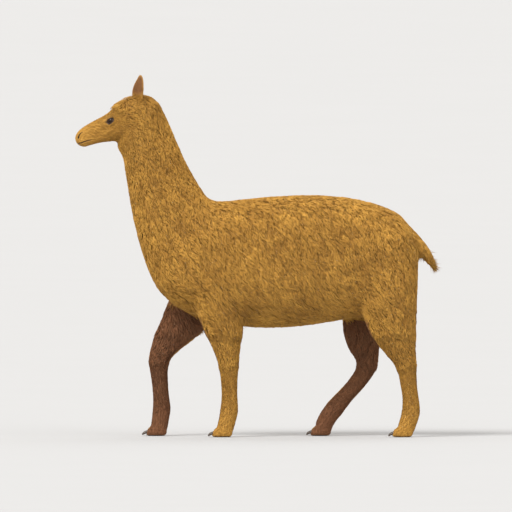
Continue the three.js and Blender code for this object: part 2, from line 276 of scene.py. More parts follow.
@dataclass
class Surface:
    """A mesh's vertices, for work that goes from a vertex to its neighbours."""

    mesh: bpy.types.Mesh
    levels: int = 8  # steps in how far a vertex may follow its neighbours
    points: np.ndarray = field(init=False)
    normals: np.ndarray = field(init=False)

    def __post_init__(self) -> None:
        """Reads the mesh."""
        self.read()

    def read(self) -> None:
        """Reads the places and the normals again."""
        self.points = mesh_points(self.mesh)
        self.normals = mesh_normals(self.mesh)

    def move(self, points: np.ndarray) -> None:
        """Moves the vertices, and reads the new normals."""
        move_points(self.mesh, points)
        self.read()

    def spread(self, values: np.ndarray, rounds: int, share: np.ndarray | None = None) -> np.ndarray:
        """Blurs values over the surface, by smoothing a copy of the mesh whose places are the values.

        Args:
            values: One row for each vertex.
            rounds: How many times each vertex goes half of the way to its neighbours' mean.
            share: How far each vertex goes of that, from 0 to 1.

        Returns:
            The blurred values.
        """
        columns = values.reshape(len(values), -1)
        blurred = np.empty_like(columns, float)
        copy = new_object("values", self.mesh.copy())
        smooth = copy.modifiers.new("smooth", "SMOOTH")
        smooth.factor = 1.0
        smooth.iterations = rounds
        if share is not None:
            group = copy.vertex_groups.new(name="share")
            steps = np.round(share * self.levels).astype(int)
            for step in range(1, self.levels + 1):
                group.add(np.nonzero(steps == step)[0].tolist(), step / self.levels, "REPLACE")
            smooth.vertex_group = "share"
        for first in range(0, columns.shape[1], 3):
            some = columns[:, first:first + 3]
            padded = np.zeros((len(values), 3))
            padded[:, :some.shape[1]] = some
            move_points(copy.data, padded)
            finished = copy.evaluated_get(bpy.context.evaluated_depsgraph_get())
            blurred[:, first:first + 3] = mesh_points(finished.data)[:, :some.shape[1]]
        mesh = copy.data
        bpy.data.objects.remove(copy)
        bpy.data.meshes.remove(mesh)
        return blurred.reshape(values.shape)

    def polish(self, rounds: int, share: np.ndarray | None = None) -> None:
        """Smooths the shape without letting it shrink.

        Args:
            rounds: How many times each vertex goes half of the way to its neighbours' mean.
            share: How far each vertex goes of that, from 0 to 1.
        """
        before = self.points
        smooth = self.spread(before, rounds, share)
        move_points(self.mesh, smooth)
        normals = mesh_normals(self.mesh)
        lost = self.spread(dots(before - smooth, normals)[:, 0], rounds, share)
        self.move(smooth + normals * lost[:, None])


# ------------------------------------------------------------------ the coat


class Part(Enum):
    """The parts of the body that have a coat of their own."""

    TRUNK = "trunk"
    NECK = "neck"
    TAIL = "tail"
    HEAD = "head"
    EAR = "ear"
    UPPER = "upper"
    SHANK = "shank"
    FOOT = "foot"

    @staticmethod
    def of(node: str) -> "Part":
        """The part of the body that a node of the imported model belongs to.

        Args:
            node: The node's name.

        Returns:
            The part.
        """
        for part in (Part.UPPER, Part.SHANK, Part.FOOT, Part.EAR):
            if part.value in node:
                return part
        if node in ("jaw", "eye_left", "eye_right"):
            return Part.HEAD
        return Part(node)


@dataclass(frozen=True)
class Hair:
    """The coat of one part of the body."""

    depth: float  # how far the skin lies inside the outline
    length: float  # of one tuft
    width: float  # of one tuft at its widest
    spacing: float  # least distance between two roots
    smooth: float  # how strongly the skin below is smoothed, from 0 to 1

    def row(self) -> list[float]:
        """The sizes that are blended from one part to the next."""
        return [self.depth, self.length, self.width, self.spacing]


HAIR = {
    Part.TRUNK: Hair(13 * MM, 56 * MM, 4.2 * MM, 4.2 * MM, 1.0),
    Part.NECK: Hair(11 * MM, 48 * MM, 3.9 * MM, 3.9 * MM, 1.0),
    Part.TAIL: Hair(12 * MM, 62 * MM, 3.8 * MM, 2.8 * MM, 0.6),
    Part.HEAD: Hair(5 * MM, 15 * MM, 2.4 * MM, 3.0 * MM, 0.35),
    Part.EAR: Hair(1.4 * MM, 9 * MM, 1.6 * MM, 2.1 * MM, 0.1),
    Part.UPPER: Hair(9 * MM, 38 * MM, 3.7 * MM, 4.0 * MM, 0.8),
    Part.SHANK: Hair(4 * MM, 17 * MM, 2.2 * MM, 3.0 * MM, 0.5),
    Part.FOOT: Hair(1.6 * MM, 9 * MM, 1.8 * MM, 2.2 * MM, 0.4),
}


@dataclass(frozen=True)
class HeadFrame:
    """The head's own directions, counted from the poll, in its own units.

    A point is given by how far it is along the head, how high above its axis, and how
    far to the side, all in units of the head's size.
    """

    pitch: float = math.radians(20)
    size: float = 1.1 * MM
    eye_along: float = 119.0
    eye_height: float = 25.0

    @cached_property
    def forward(self) -> np.ndarray:
        """The way the nose points."""
        return np.array([0.0, -math.cos(self.pitch), -math.sin(self.pitch)])

    @cached_property
    def up(self) -> np.ndarray:
        """Square to the axis, towards the forehead."""
        return np.array([0.0, -math.sin(self.pitch), math.cos(self.pitch)])

    @cached_property
    def origin(self) -> np.ndarray:
        """The point on the axis that lengths are counted from."""
        eye = box_middle("eye_left")
        eye[0] = 0.0
        return eye - self.size * (self.eye_along * self.forward + self.eye_height * self.up)

    def local(self, points: np.ndarray) -> tuple[np.ndarray, np.ndarray, np.ndarray]:
        """How far along, how high and how far to the side points are."""
        gap = (points - self.origin) / self.size
        return gap @ self.forward, gap @ self.up, np.abs(points[:, 0]) / self.size

    def world(self, along: float, height: float, aside: float) -> np.ndarray:
        """The place of a point that is given in the head's units."""
        across = np.array([aside, 0.0, 0.0])
        return self.origin + self.size * (along * self.forward + height * self.up + across)


HEAD = HeadFrame()
NOSTRIL = ((257, 20, 30), (264, 20, 30), (271, 17, 30), (277, 11, 28), (281, 4, 26))
NOSTRIL_WIDTHS = tuple(width * MM for width in (0.2, 0.9, 1.6, 2.6, 3.2))


@cache
def nostril_line(inward: float = 0.0) -> np.ndarray:
    """The middle of the left nostril's slit, laid at a depth below the head's surface, one point a row."""
    tree = node_tree("head")
    found = [tree.find_nearest(Vector(HEAD.world(*corner))) for corner in NOSTRIL]
    return np.array([place - normal * inward for place, normal, _, _ in found])


def from_nostrils(points: np.ndarray, inward: float = 0.0) -> np.ndarray:
    """How far points are from the edge of the nearer nostril at a depth, in the head's units.

    Args:
        points: The points, one a row.
        inward: The depth below the head's surface.

    Returns:
        The distances, below zero inside the slit.
    """
    mirrored = points.copy()
    mirrored[:, 0] = np.abs(mirrored[:, 0])
    return path_distance(mirrored, nostril_line(inward), NOSTRIL_WIDTHS) / HEAD.size


@dataclass(frozen=True)
class EyeFrame:
    """One eye's place, its gaze and the outline of its opening."""

    side: float
    turn: float = math.radians(24)  # how far the gaze is turned to the front
    raise_by: float = math.radians(4)
    tilt: float = math.radians(-14)  # the front corner is the lower one
    half_width: float = math.radians(56)
    half_above: float = math.radians(36)
    half_below: float = math.radians(29)

    @cached_property
    def centre(self) -> np.ndarray:
        """The middle of the eyeball."""
        return box_middle("eye_left" if self.side > 0 else "eye_right")

    @cached_property
    def radius(self) -> float:
        """The eyeball's radius."""
        low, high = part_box("eye_left")
        return (high.z - low.z) / 2

    @cached_property
    def axes(self) -> np.ndarray:
        """The gaze, the way to the front corner and the way up, one a row."""
        aside = np.array([self.side, 0.0, 0.0])
        gaze = math.cos(self.turn) * aside + math.sin(self.turn) * HEAD.forward
        gaze = unit(gaze + math.tan(self.raise_by) * HEAD.up)
        up = flatten_to(HEAD.up, gaze)
        front = flatten_to(HEAD.forward, gaze)
        front = unit(front - up * (front @ up))
        tilted = math.cos(self.tilt) * front + math.sin(self.tilt) * up
        raised = math.cos(self.tilt) * up - math.sin(self.tilt) * front
        return np.stack([gaze, tilted, raised])

    def angles(self, points: np.ndarray) -> tuple[np.ndarray, np.ndarray]:
        """How far points stand to the front and above the gaze, as angles.

        Args:
            points: The points, one a row.

        Returns:
            The angles to the front and the angles above.
        """
        gaze, front, up = self.axes
        gap = unit(points - self.centre)
        ahead = gap @ gaze
        off = np.arccos(np.clip(ahead, -1, 1))
        around = np.arctan2(gap @ up, gap @ front)
        return off * np.cos(around), off * np.sin(around)

    def openness(self, points: np.ndarray) -> np.ndarray:
        """How many times the opening would be widened to reach each point; 1 is its edge.

        Args:
            points: The points, one a row.

        Returns:
            One number for each point.
        """
        across, above = self.angles(points)
        height = np.where(above > 0, self.half_above, self.half_below)
        return np.hypot(across / self.half_width, above / height)

    def at(self, around: float, widen: float, radius: float) -> np.ndarray:
        """The point at an angle round the opening, widened and at a distance from the centre.

        Args:
            around: The angle, counted from the front corner upwards.
            widen: How many times the opening is widened.
            radius: The distance from the eye's centre.

        Returns:
            The point.
        """
        gaze, front, up = self.axes
        height = self.half_above if math.sin(around) > 0 else self.half_below
        across = widen * self.half_width * math.cos(around)
        above = widen * height * math.sin(around)
        off = math.hypot(across, above)
        way = (across * front + above * up) / max(off, 1e-9)
        return self.centre + radius * (math.cos(off) * gaze + math.sin(off) * way)


EYES = {name: EyeFrame(side) for name, side in SIDES.items()}


# ---------------------------------------------------------------- the markings and the painted shade


@dataclass(frozen=True)
class MarkingsAndShade:
    """Where the coat is dark and where the hide is bare, the same for skin and coat. The bare hide is the
    animal's own; the dark is painted shade on the inner sides of the legs, there also a two-tone marking, and
    in the hollows of the ears.
    """

    dark_top: float = 0.72  # the inner sides of the legs are dark below this height: painted shade between the legs, also a two-tone marking of the coat
    dark_fade: float = 0.07
    turn: float = 0.20  # how sharply the dark gives way where the leg turns outwards
    middle: float = -0.12  # the turn at which it does
    ragged: float = 0.09
    bay: float = 60 * MM  # the size of the bays in the dark's ragged edge
    bay_seed: float = 3.0
    top_ragged: float = 0.3  # how much of the raggedness shows, in metres, at the dark's upper edge
    ear_shade: float = 0.85  # how dark the painted shade in the hollow of the ear is in its middle
    ear_turn: float = math.radians(32)  # how far it is turned from the side to the front
    ear_rise: tuple[float, float] = (25 * MM, 60 * MM)  # above the ear's foot, where its shade sets in
    ear_facing: tuple[float, float] = (0.40, 0.98)  # how squarely a place faces the way of the hollow
    lip_half: float = 2.6  # these six are in the head's units
    lips_from: tuple[float, float] = (224.0, 240.0)
    slit_edge: tuple[float, float] = (2.6, 0.6)
    cleft_half: float = 2.6
    cleft_from: tuple[float, float] = (280.0, 290.0)
    cleft_top: tuple[float, float] = (4.0, -8.0)
    cleft_shade: float = 0.8
    slit_depths: tuple[float, ...] = (0.0, 4 * MM, 8 * MM)  # the nostril is sought this far inwards
    lid_reach: tuple[float, float] = (7 * MM, 4 * MM)  # beyond the eyeball
    lid_widen: tuple[float, float] = (1.22, 1.12)  # times the opening
    sole_top: tuple[float, float] = (7 * MM, 3 * MM)

    def dark(self, points: np.ndarray, medial: np.ndarray, normals: np.ndarray) -> np.ndarray:
        """How dark the coat is, from 0 to 1: painted shade on the inner sides of the legs, also a two-tone
        marking, and in the hollows of the ears.

        Args:
            points: Where it is wanted.
            medial: How far the surface there faces the middle of the body, -1 to 1.
            normals: The ways out of the skin there.

        Returns:
            One value for each point.
        """
        wander = self.ragged * soft_noise(points, self.bay, self.bay_seed)
        inner = ramp(medial + wander, self.middle - self.turn, self.middle + self.turn)
        low = ramp(points[:, 2] + self.top_ragged * wander, self.dark_top, self.dark_top - self.dark_fade)
        # painted shade: dark on the legs' inner sides below dark_top, and in the middle of each ear's hollow
        return np.maximum(inner * low, self.ear_shade * self.in_ear(points, normals))

    def in_ear(self, points: np.ndarray, normals: np.ndarray) -> np.ndarray:
        """Where the hollow of an ear is: it faces outward and forward.

        Args:
            points: The points, one a row.
            normals: The ways out of the skin there.

        Returns:
            From 0 to 1 for each point.
        """
        low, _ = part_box("ear_left")
        height = ramp(points[:, 2], low.z + self.ear_rise[0], low.z + self.ear_rise[1])
        out = normals[:, 0] * np.sign(points[:, 0])
        facing = math.cos(self.ear_turn) * out - math.sin(self.ear_turn) * normals[:, 1]
        return ramp(facing, *self.ear_facing) * height

    def bare(self, points: np.ndarray) -> np.ndarray:
        """How bare and dark the hide is, from 0 to 1: the nose, the lips, the lids and the soles.

        Args:
            points: The points, one a row.

        Returns:
            One value for each point.
        """
        along, height, aside = HEAD.local(points)
        lips = bell(height - mouth_height(along), 0.0, self.lip_half) * ramp(along, *self.lips_from)
        slit = np.minimum.reduce([from_nostrils(points, depth) for depth in self.slit_depths])
        nostril = ramp(slit, *self.slit_edge)
        cleft = self.cleft_shade * ramp(along, *self.cleft_from) * bell(aside, 0.0, self.cleft_half)
        cleft = cleft * ramp(height, *self.cleft_top)
        nose = np.maximum(nostril, cleft)
        lids = np.zeros(len(points))
        for eye in EYES.values():
            beyond = np.linalg.norm(points - eye.centre, axis=1)
            near = ramp(beyond, eye.radius + self.lid_reach[0], eye.radius + self.lid_reach[1])
            lids = np.maximum(lids, near * ramp(eye.openness(points), *self.lid_widen))
        soles = ramp(points[:, 2], *self.sole_top)
        return np.clip(np.maximum.reduce([lips, nose, lids, soles]), 0.0, 1.0)


MARKINGS_AND_SHADE = MarkingsAndShade()


def mouth_height(along: np.ndarray) -> np.ndarray:
    """The height of the line between the lips, in the head's units."""
    return -31.0 + (along - 150.0) * 0.08 + 2.0 * bell(along, 250.0, 22.0)


# -------------------------------------------------------------------- the skin


@dataclass
class Fields:
    """What is known at each point of the skin: its part, coat and lie."""

    hair: np.ndarray  # depth, length, width and spacing, one row a point
    lie: np.ndarray  # the way the coat points
    lift: np.ndarray  # how far it stands up instead, where ways meet or part
    medial: np.ndarray  # how far the place faces the middle of the body, less where it faces down
    tree: KDTree

    def near(self, points: np.ndarray) -> np.ndarray:
        """The number of the known point nearest to each of these."""
        return np.array([self.tree.find(point)[1] for point in points], int)


@dataclass
class Skin:
    """One skin over all the flesh, lying inside the outline by the depth of the coat."""

    voxel: float = 4 * MM
    grow: float = 1.0 * MM
    ear_grow: float = 1.4 * MM  # more, to make up for the rounding of the ears' thin rims
    ear_rounds: int = 4
    ear_root: float = 7 * MM  # this close to the head an ear isn't rounded
    tail_length: float = 0.88  # the skin of the tail ends before its hair does
    polish_rounds: int = 180
    blend_rounds: int = 72
    ear_blend_rounds: int = 8  # fewer on the ears, so that their short hair stays short
    firm_rounds: int = 12
    depth_rounds: int = 16
    ear_depth_share: float = 0.3  # how far the ears take part in the blurring of the depth
    last_rounds: int = 6
    ear_last_share: float = 0.2
    back_of_head: float = 10.0  # in the head's units: the mesh is thinned behind this
    below_jaw: float = 40 * MM  # and below this depth under the jaw
    thin_share: float = 0.28  # of the thickness of a thin part that the coat may take
    face_budget: float = 0.16  # share of the triangles that is kept
    fields: Fields = field(init=False)
    piece: bpy.types.Object = field(init=False)

    def joined(self) -> bpy.types.Object:
        """All the flesh and the eyes as one mesh of overlapping shells.

        Returns:
            The mesh's object.
        """
        shape = bmesh.new()
        for name in (*FLESH, "eye_left", "eye_right"):
            part = bmesh.new()
            part.from_mesh(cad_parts[name].data)
            bmesh.ops.remove_doubles(part, verts=part.verts, dist=1e-5)
            part.normal_update()
            if name == "tail":
                low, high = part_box("tail")
                dock = Vector((0.0, low.y, high.z))
                bmesh.ops.scale(
                    part, verts=part.verts, vec=Vector((1.0, self.tail_length, self.tail_length)),
                    space=Matrix.Translation(-dock))
            if Part.of(name) is Part.EAR:
                self.round_ear(part)
            for vert in part.verts:
                vert.co += vert.normal * self.grow
            mesh = bpy.data.meshes.new("part")
            part.to_mesh(mesh)
            part.free()
            shape.from_mesh(mesh)
            bpy.data.meshes.remove(mesh)
        return object_of("skin", shape)

    def round_ear(self, ear: bmesh.types.BMesh) -> None:
        """Rounds the rim of an ear, except where it stands on the head.

        Args:
            ear: The ear, which is changed.
        """
        tree = node_tree("head")
        bmesh.ops.subdivide_edges(ear, edges=ear.edges, cuts=2, use_grid_fill=True)
        free = [vert for vert in ear.verts if tree.find_nearest(vert.co)[3] > self.ear_root]
        for _ in range(self.ear_rounds):
            bmesh.ops.smooth_vert(
                ear, verts=free, factor=0.5, use_axis_x=True, use_axis_y=True, use_axis_z=True)
        ear.normal_update()
        for vert in free:
            vert.co += vert.normal * self.ear_grow

    def nearest_node(self, points: np.ndarray) -> np.ndarray:
        """The number, in the list of flesh, of the node nearest to each point.

        Args:
            points: The points, one a row.

        Returns:
            The numbers.
        """
        shape = bmesh.new()
        owners: list[int] = []
        for number, name in enumerate(FLESH):
            shape.from_mesh(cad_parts[name].data)
            owners += [number] * (len(shape.faces) - len(owners))
        tree = BVHTree.FromBMesh(shape)
        shape.free()
        owner = np.array(owners)
        return owner[[tree.find_nearest(point)[2] for point in points]]

    def thickness(self, surface: Surface, reach: float = 0.12) -> np.ndarray:
        """How thick the body is behind each vertex, up to a reach.

        Args:
            surface: The skin's vertices.
            reach: The most that is measured.

        Returns:
            The thicknesses.
        """
        view = bpy.context.evaluated_depsgraph_get()
        tree = BVHTree.FromObject(self.piece, view)
        starts = surface.points - surface.normals * 0.5 * MM
        found = [tree.ray_cast(start, -normal, reach)[3] for start, normal in zip(starts, surface.normals)]
        return np.array([reach if gap is None else gap for gap in found])

    def build(self) -> bpy.types.Object:
        """Makes the skin.

        Returns:
            The skin's object, which replaces every node of flesh.
        """
        self.piece = self.joined()
        remesh = self.piece.modifiers.new("even", "REMESH")
        remesh.mode = "VOXEL"
        remesh.voxel_size = self.voxel
        settled(self.piece)
        surface = Surface(self.piece.data)
        log.info("skin: %d even vertices", len(surface.points))
        parts = [Part.of(name) for name in FLESH]
        owner = self.nearest_node(surface.points)
        firmness = np.array([HAIR[part].smooth for part in parts])[owner]
        surface.polish(self.polish_rounds, surface.spread(firmness, self.firm_rounds))
        log.info("skin: smoothed")
        lie, lift, medial = Lie(surface, owner, parts).fields()
        hair = np.array([HAIR[part].row() for part in parts])[owner]
        hair = head_hair(surface.points, hair, owner)
        ears = np.isin(owner, [FLESH.index("ear_left"), FLESH.index("ear_right")])
        blended = surface.spread(hair, self.blend_rounds)
        blended[ears] = surface.spread(hair, self.ear_blend_rounds)[ears]
        depth = np.minimum(blended[:, 0], self.thin_share * self.thickness(surface))
        depth = surface.spread(depth, self.depth_rounds, np.where(ears, self.ear_depth_share, 1.0))
        surface.move(surface.points - surface.normals * (depth + self.grow)[:, None])
        surface.polish(self.last_rounds, np.where(ears, self.ear_last_share, 1.0))
        points = surface.points.copy()
        points[:, 2] = np.maximum(points[:, 2], 0.0)
        surface.move(points)
        self.fields = Fields(blended, lie, lift, medial, point_tree(points))
        log.info("skin: set back by the coat")
        self.lighten(points)
        log.info("skin: lightened")
        self.refine()
        self.sculpt()
        self.dress()
        return self.piece

    def lighten(self, points: np.ndarray) -> None:
        """Thins the mesh everywhere but on the head.

        Args:
            points: The mesh's vertices, one a row.
        """
        along, _, _ = HEAD.local(points)
        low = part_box("jaw")[0].z - self.below_jaw
        head = (points[:, 2] > low) & (along > self.back_of_head)
        head |= points[:, 2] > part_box("ear_left")[0].z
        group = self.piece.vertex_groups.new(name="body")
        group.add(np.nonzero(~head)[0].tolist(), 1.0, "REPLACE")
        thin = self.piece.modifiers.new("thin", "DECIMATE")
        thin.ratio = self.face_budget
        thin.vertex_group = "body"
        thin.vertex_group_factor = 1.0
        settled(self.piece)
        self.piece.vertex_groups.clear()

    def refine(self) -> None:
        """Gives the eyes and the muzzle the finer mesh that their forms need."""
        for rounds, reach in ((1, 1.0), (2, 0.72)):
            shape = bmesh.new()
            shape.from_mesh(self.piece.data)
            points = np.array([vert.co for vert in shape.verts])
            along, height, _ = HEAD.local(points)
            wanted = (along > 222) & (reach == 1.0)
            wanted |= (along > 256) & (height > -32) & (height < 34)
            for eye in EYES.values():
                wanted |= np.linalg.norm(points - eye.centre, axis=1) < eye.radius * 2.0 * reach
            shape.verts.ensure_lookup_table()
            edges = [edge for edge in shape.edges if all(wanted[vert.index] for vert in edge.verts)]
            bmesh.ops.subdivide_edges(shape, edges=edges, cuts=1, use_grid_fill=True)
            shape.to_mesh(self.piece.data)
            shape.free()
            surface = Surface(self.piece.data)
            along, _, _ = HEAD.local(surface.points)
            surface.polish(6, 0.8 * ramp(along, 60, 80))
            log.info("skin: %d vertices after refining %d", len(surface.points), rounds)

    def sculpt(self) -> None:
        """Shapes the face: brow, cheek, nostrils, lips and the sockets of the eyes."""
        surface = Surface(self.piece.data)
        points = surface.points
        along, height, aside = HEAD.local(points)
        on_head = (along > 30) & (points[:, 2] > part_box("jaw")[0].z - 30 * MM)
        push = np.zeros(len(points))
        for form in FACE_FORMS:
            push += form.push(along, height, aside)
        push += nostril_push(points, along)
        push += lip_push(along, height, aside)
        surface.move(points + surface.normals * (push * on_head * HEAD.size)[:, None])
        points = surface.points.copy()
        for eye in EYES.values():
            points = eye_socket(points, eye)
        points[:, 2] = np.maximum(points[:, 2], 0.0)
        surface.move(points)

    def dress(self) -> None:
        """Stores the markings and the painted shade, and gives the skin its finish."""
        mesh = self.piece.data
        mesh.shade_smooth()
        points = mesh_points(mesh)
        near = self.fields.near(points)
        # dark is painted shade on the legs' inner sides, also a two-tone marking, and in the ears' hollows
        set_values(mesh, "dark", MARKINGS_AND_SHADE.dark(points, self.fields.medial[near], mesh_normals(mesh)))
        set_values(mesh, "bare", MARKINGS_AND_SHADE.bare(points))
        mesh.materials.append(HideFinish().material())
        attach(self.piece, BODY)
        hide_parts(*FLESH)


def head_hair(points: np.ndarray, hair: np.ndarray, owner: np.ndarray) -> np.ndarray:
    """Gives each place on the head its own coat: woolly crown and nape, short on the face.

    Args:
        points: The skin's points.
        hair: The coat's sizes by part, one row a point.
        owner: The number of the node that each point belongs to.

    Returns:
        The coat's sizes with the head's own put in.
    """
    on_head = np.isin(owner, [FLESH.index("head"), FLESH.index("jaw")])
    along, height, _ = HEAD.local(points)
    # depth, length, width and spacing
    wool = np.array([14 * MM, 42 * MM, 3.6 * MM, 3.7 * MM])
    cheek = np.array([6 * MM, 18 * MM, 2.1 * MM, 2.8 * MM])
    face = np.array([2.2 * MM, 10 * MM, 1.6 * MM, 2.0 * MM])
    muzzle = np.array([0.9 * MM, 6.0 * MM, 1.2 * MM, 1.7 * MM])
    reach = 34 + 40 * ramp(height, 25, 70)
    behind = ramp(along, reach + 40, reach - 10)[:, None]
    front = ramp(along, 95, 150)[:, None]
    tip = ramp(along, 195, 255)[:, None]
    mixed = cheek + (face - cheek) * front
    mixed = mixed + (muzzle - mixed) * tip
    mixed = mixed + (wool - mixed) * behind
    result = hair.copy()
    result[on_head] = mixed[on_head]
    return result


@dataclass
class Lie:
    """The way the coat points at each place."""

    surface: Surface
    owner: np.ndarray
    parts: Sequence[Part]
    rounds: int = 80
    parting: float = 30 * MM  # how far from the middle of the body the coat has turned to its side
    trunk_parting: float = 110 * MM
    outward: float = 0.55  # how far the trunk's coat leans to the side
    under_from: float = 0.75  # below this share of its way lying in the surface, it leans less
    under_full: float = 0.45  # and below this one not at all
    seat_from: float = 0.35  # how squarely a place faces back and down where the coat is tucked in
    seat_full: float = 0.8
    seat_start: float = 240 * MM  # before the rear end of the trunk
    seat_end: float = 120 * MM

    def limb_way(self, node: str) -> np.ndarray:
        """The way down a length of a leg, from its middle to the next one's.

        Args:
            node: The length's node.

        Returns:
            The way, one unit long.
        """
        limb, part = node.rsplit("_", 1)
        if part == "foot":
            return unit(np.array([0.0, -0.55, -1.0]))
        following = {"upper": "shank", "shank": "foot"}[part]
        return unit(box_middle(f"{limb}_{following}") - box_middle(node))

    def raw(self) -> np.ndarray:
        """The way the coat would point if each part ended sharply.

        Returns:
            One way for each vertex.
        """
        points, normals = self.surface.points, self.surface.normals
        side = np.tanh(points[:, 0] / self.parting)
        fall = np.array([0.0, 0.55, -0.85])
        laid = np.linalg.norm(fall - normals * dots(fall, normals), axis=1) / np.linalg.norm(fall)
        under = np.where(normals[:, 2] < 0, ramp(laid, self.under_from, self.under_full), 0.0)
        aside = np.tanh(points[:, 0] / self.trunk_parting) * (1.0 - under)
        tuck = np.array([0.0, -0.3, -1.0])
        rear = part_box("trunk")[1].y
        seat = ramp(normals @ np.array([0.0, 0.7, -0.7]), self.seat_from, self.seat_full)
        seat = (seat * ramp(points[:, 1], rear - self.seat_start, rear - self.seat_end))[:, None]
        ways = np.zeros_like(points)
        for number, (node, part) in enumerate(zip(FLESH, self.parts)):
            mine = self.owner == number
            count = int(mine.sum())
            if part is Part.TRUNK:
                way = fall + (tuck - fall) * seat[mine]
                way[:, 0] = self.outward * aside[mine] * (1.0 - seat[mine, 0])
            elif part is Part.NECK:
                back, down = np.full(count, 0.38), np.full(count, -0.92)
                way = np.stack([0.16 * side[mine], back, down], axis=1)
            elif part is Part.TAIL:
                way = np.tile(unit(np.array([0.0, 0.72, -0.7])), (count, 1))
            elif part is Part.EAR:
                way = np.tile(np.array([0.0, 0.05, 1.0]), (count, 1))
            elif part is Part.HEAD:
                way = self.on_head(points[mine], side[mine])
            else:
                way = np.tile(self.limb_way(node), (count, 1))
            ways[mine] = way
        return flatten_to(ways, normals)

    def on_head(self, points: np.ndarray, side: np.ndarray) -> np.ndarray:
        """The way the coat points on the head: back along the face, and down from the crown.

        Args:
            points: The points, one a row.
            side: From -1 on the right side to 1 on the left.

        Returns:
            One way for each point.
        """
        along, height, _ = HEAD.local(points)
        back = -HEAD.forward + np.stack([0.15 * side, 0 * side, -0.35 + 0 * side], axis=1)
        fringe = 0.9 * HEAD.forward + np.stack([0.3 * side, 0 * side, -0.45 + 0 * side], axis=1)
        throat = np.stack([0.1 * side, 0.5 + 0 * side, -0.9 + 0 * side], axis=1)
        nape = np.stack([0.35 * side, 0.55 + 0 * side, -0.8 + 0 * side], axis=1)
        crown = (ramp(along, 12, 34) * ramp(along, 96, 80) * ramp(height, 55, 75))[:, None]
        behind = ramp(along, 22, 0)[:, None]
        under = (ramp(height, -20, -60) * ramp(along, 200, 110))[:, None]
        way = back + (throat - back) * under
        way = way + (fringe - way) * crown
        return way + (nape - way) * behind * (1 - crown)

    def fields(self) -> tuple[np.ndarray, np.ndarray, np.ndarray]:
        """Works out the lie and what the markings and the painted shade need.

        Returns:
            The lie, how far the coat stands up, and how far each place faces the middle of the body.
        """
        points, normals = self.surface.points, self.surface.normals
        mean = self.surface.spread(self.raw(), self.rounds)
        mean -= normals * dots(mean, normals)
        lift = ramp(np.linalg.norm(mean, axis=1), 0.8, 0.3)
        lie = self.surface.spread(self.round_eyes(points, normals, unit(mean)), 8)
        lie = flatten_to(lie, normals)
        medial = -normals[:, 0] * np.sign(points[:, 0])
        level = ramp(np.abs(normals[:, 2]), 0.55, 0.85)
        return lie, lift, self.surface.spread(medial - level, 8)

    def round_eyes(self, points: np.ndarray, normals: np.ndarray, lie: np.ndarray) -> np.ndarray:
        """Leads the coat round the eyes so that none of it lies over them.

        Args:
            points: The points, one a row.
            normals: The ways out of the skin there.
            lie: The ways the coat points.

        Returns:
            The new ways.
        """
        for eye in EYES.values():
            gap = points - eye.centre
            near = np.linalg.norm(gap, axis=1) < 2.8 * eye.radius
            share = (near * ramp(eye.openness(points), 2.8, 1.3))[:, None]
            away = flatten_to(gap, normals)
            towards = np.minimum(dots(lie, away), 0.0)
            lie = flatten_to(lie - share * towards * away + 0.35 * share * away, normals)
        return lie


@dataclass(frozen=True)
class Form:
    """A soft rise or hollow of the face, in the head's units."""

    along: float
    height: float
    aside: float
    reach: tuple[float, float, float]
    rise: float

    def push(self, along: np.ndarray, height: np.ndarray, aside: np.ndarray) -> np.ndarray:
        """How far the form lifts the skin at each place.

        Args:
            along: How far along the head each place is.
            height: How high above its axis.
            aside: How far to the side.

        Returns:
            The rise at each place, in the head's units.
        """
        far = ((along - self.along) / self.reach[0]) ** 2
        far += ((height - self.height) / self.reach[1]) ** 2
        far += ((aside - self.aside) / self.reach[2]) ** 2
        return self.rise * np.exp(-far)


FACE_FORMS = (
    Form(110, 52, 52, (26, 13, 20), 4.0),  # brow over the eye
    Form(150, 2, 46, (26, 12, 20), -4.2),  # hollow before the eye
    Form(150, -14, 46, (34, 7, 18), 2.6),  # cheek ridge
    Form(104, -34, 60, (34, 26, 30), 3.2),  # cheek
    Form(205, -8, 38, (32, 13, 16), -2.2),  # side of the nose
    Form(200, 46, 0, (48, 14, 13), 1.6),  # bridge of the nose
    Form(266, 14, 32, (15, 14, 14), 2.2),  # wing of the nostril
    Form(272, -12, 26, (18, 8, 22), 2.0),  # upper lip
    Form(268, -38, 8, (14, 9, 20), 2.2),  # chin
)


def nostril_push(points: np.ndarray, along: np.ndarray) -> np.ndarray:
    """How far the slit nostrils and their raised rims move the skin, in the head's units.

    Args:
        points: The points, one a row.
        along: How far along the head each one is.

    Returns:
        The rise at each point.
    """
    near = along > 240
    gap = from_nostrils(points[near])
    push = np.zeros(len(points))
    push[near] = -9.0 * ramp(gap, 1.6, -1.6) + 1.8 * bell(gap, 3.8, 2.2)
    return push


def lip_push(along: np.ndarray, height: np.ndarray, aside: np.ndarray) -> np.ndarray:
    """The line between the lips, their rolls and the cleft of the upper one.

    Args:
        along: How far along the head each place is.
        height: How high above its axis.
        aside: How far to the side.

    Returns:
        How far they lift the skin at each place, in the head's units.
    """
    gap = height - mouth_height(along)
    reach = ramp(along, 219, 234)
    line = -4.2 * bell(gap, 0.0, 1.7) + 1.3 * bell(gap, 5.0, 3.2) + 1.0 * bell(gap, -4.6, 3.0)
    cleft = -3.2 * bell(aside, 0.0, 2.1) * ramp(along, 276, 288) * ramp(gap, 0.5, 3.5) * ramp(height, 12, -6)
    corner = -1.4 * bell(along, 221, 5.0) * bell(gap, -1.0, 6.0)
    return line * reach * ramp(along, 296, 276) + cleft + corner


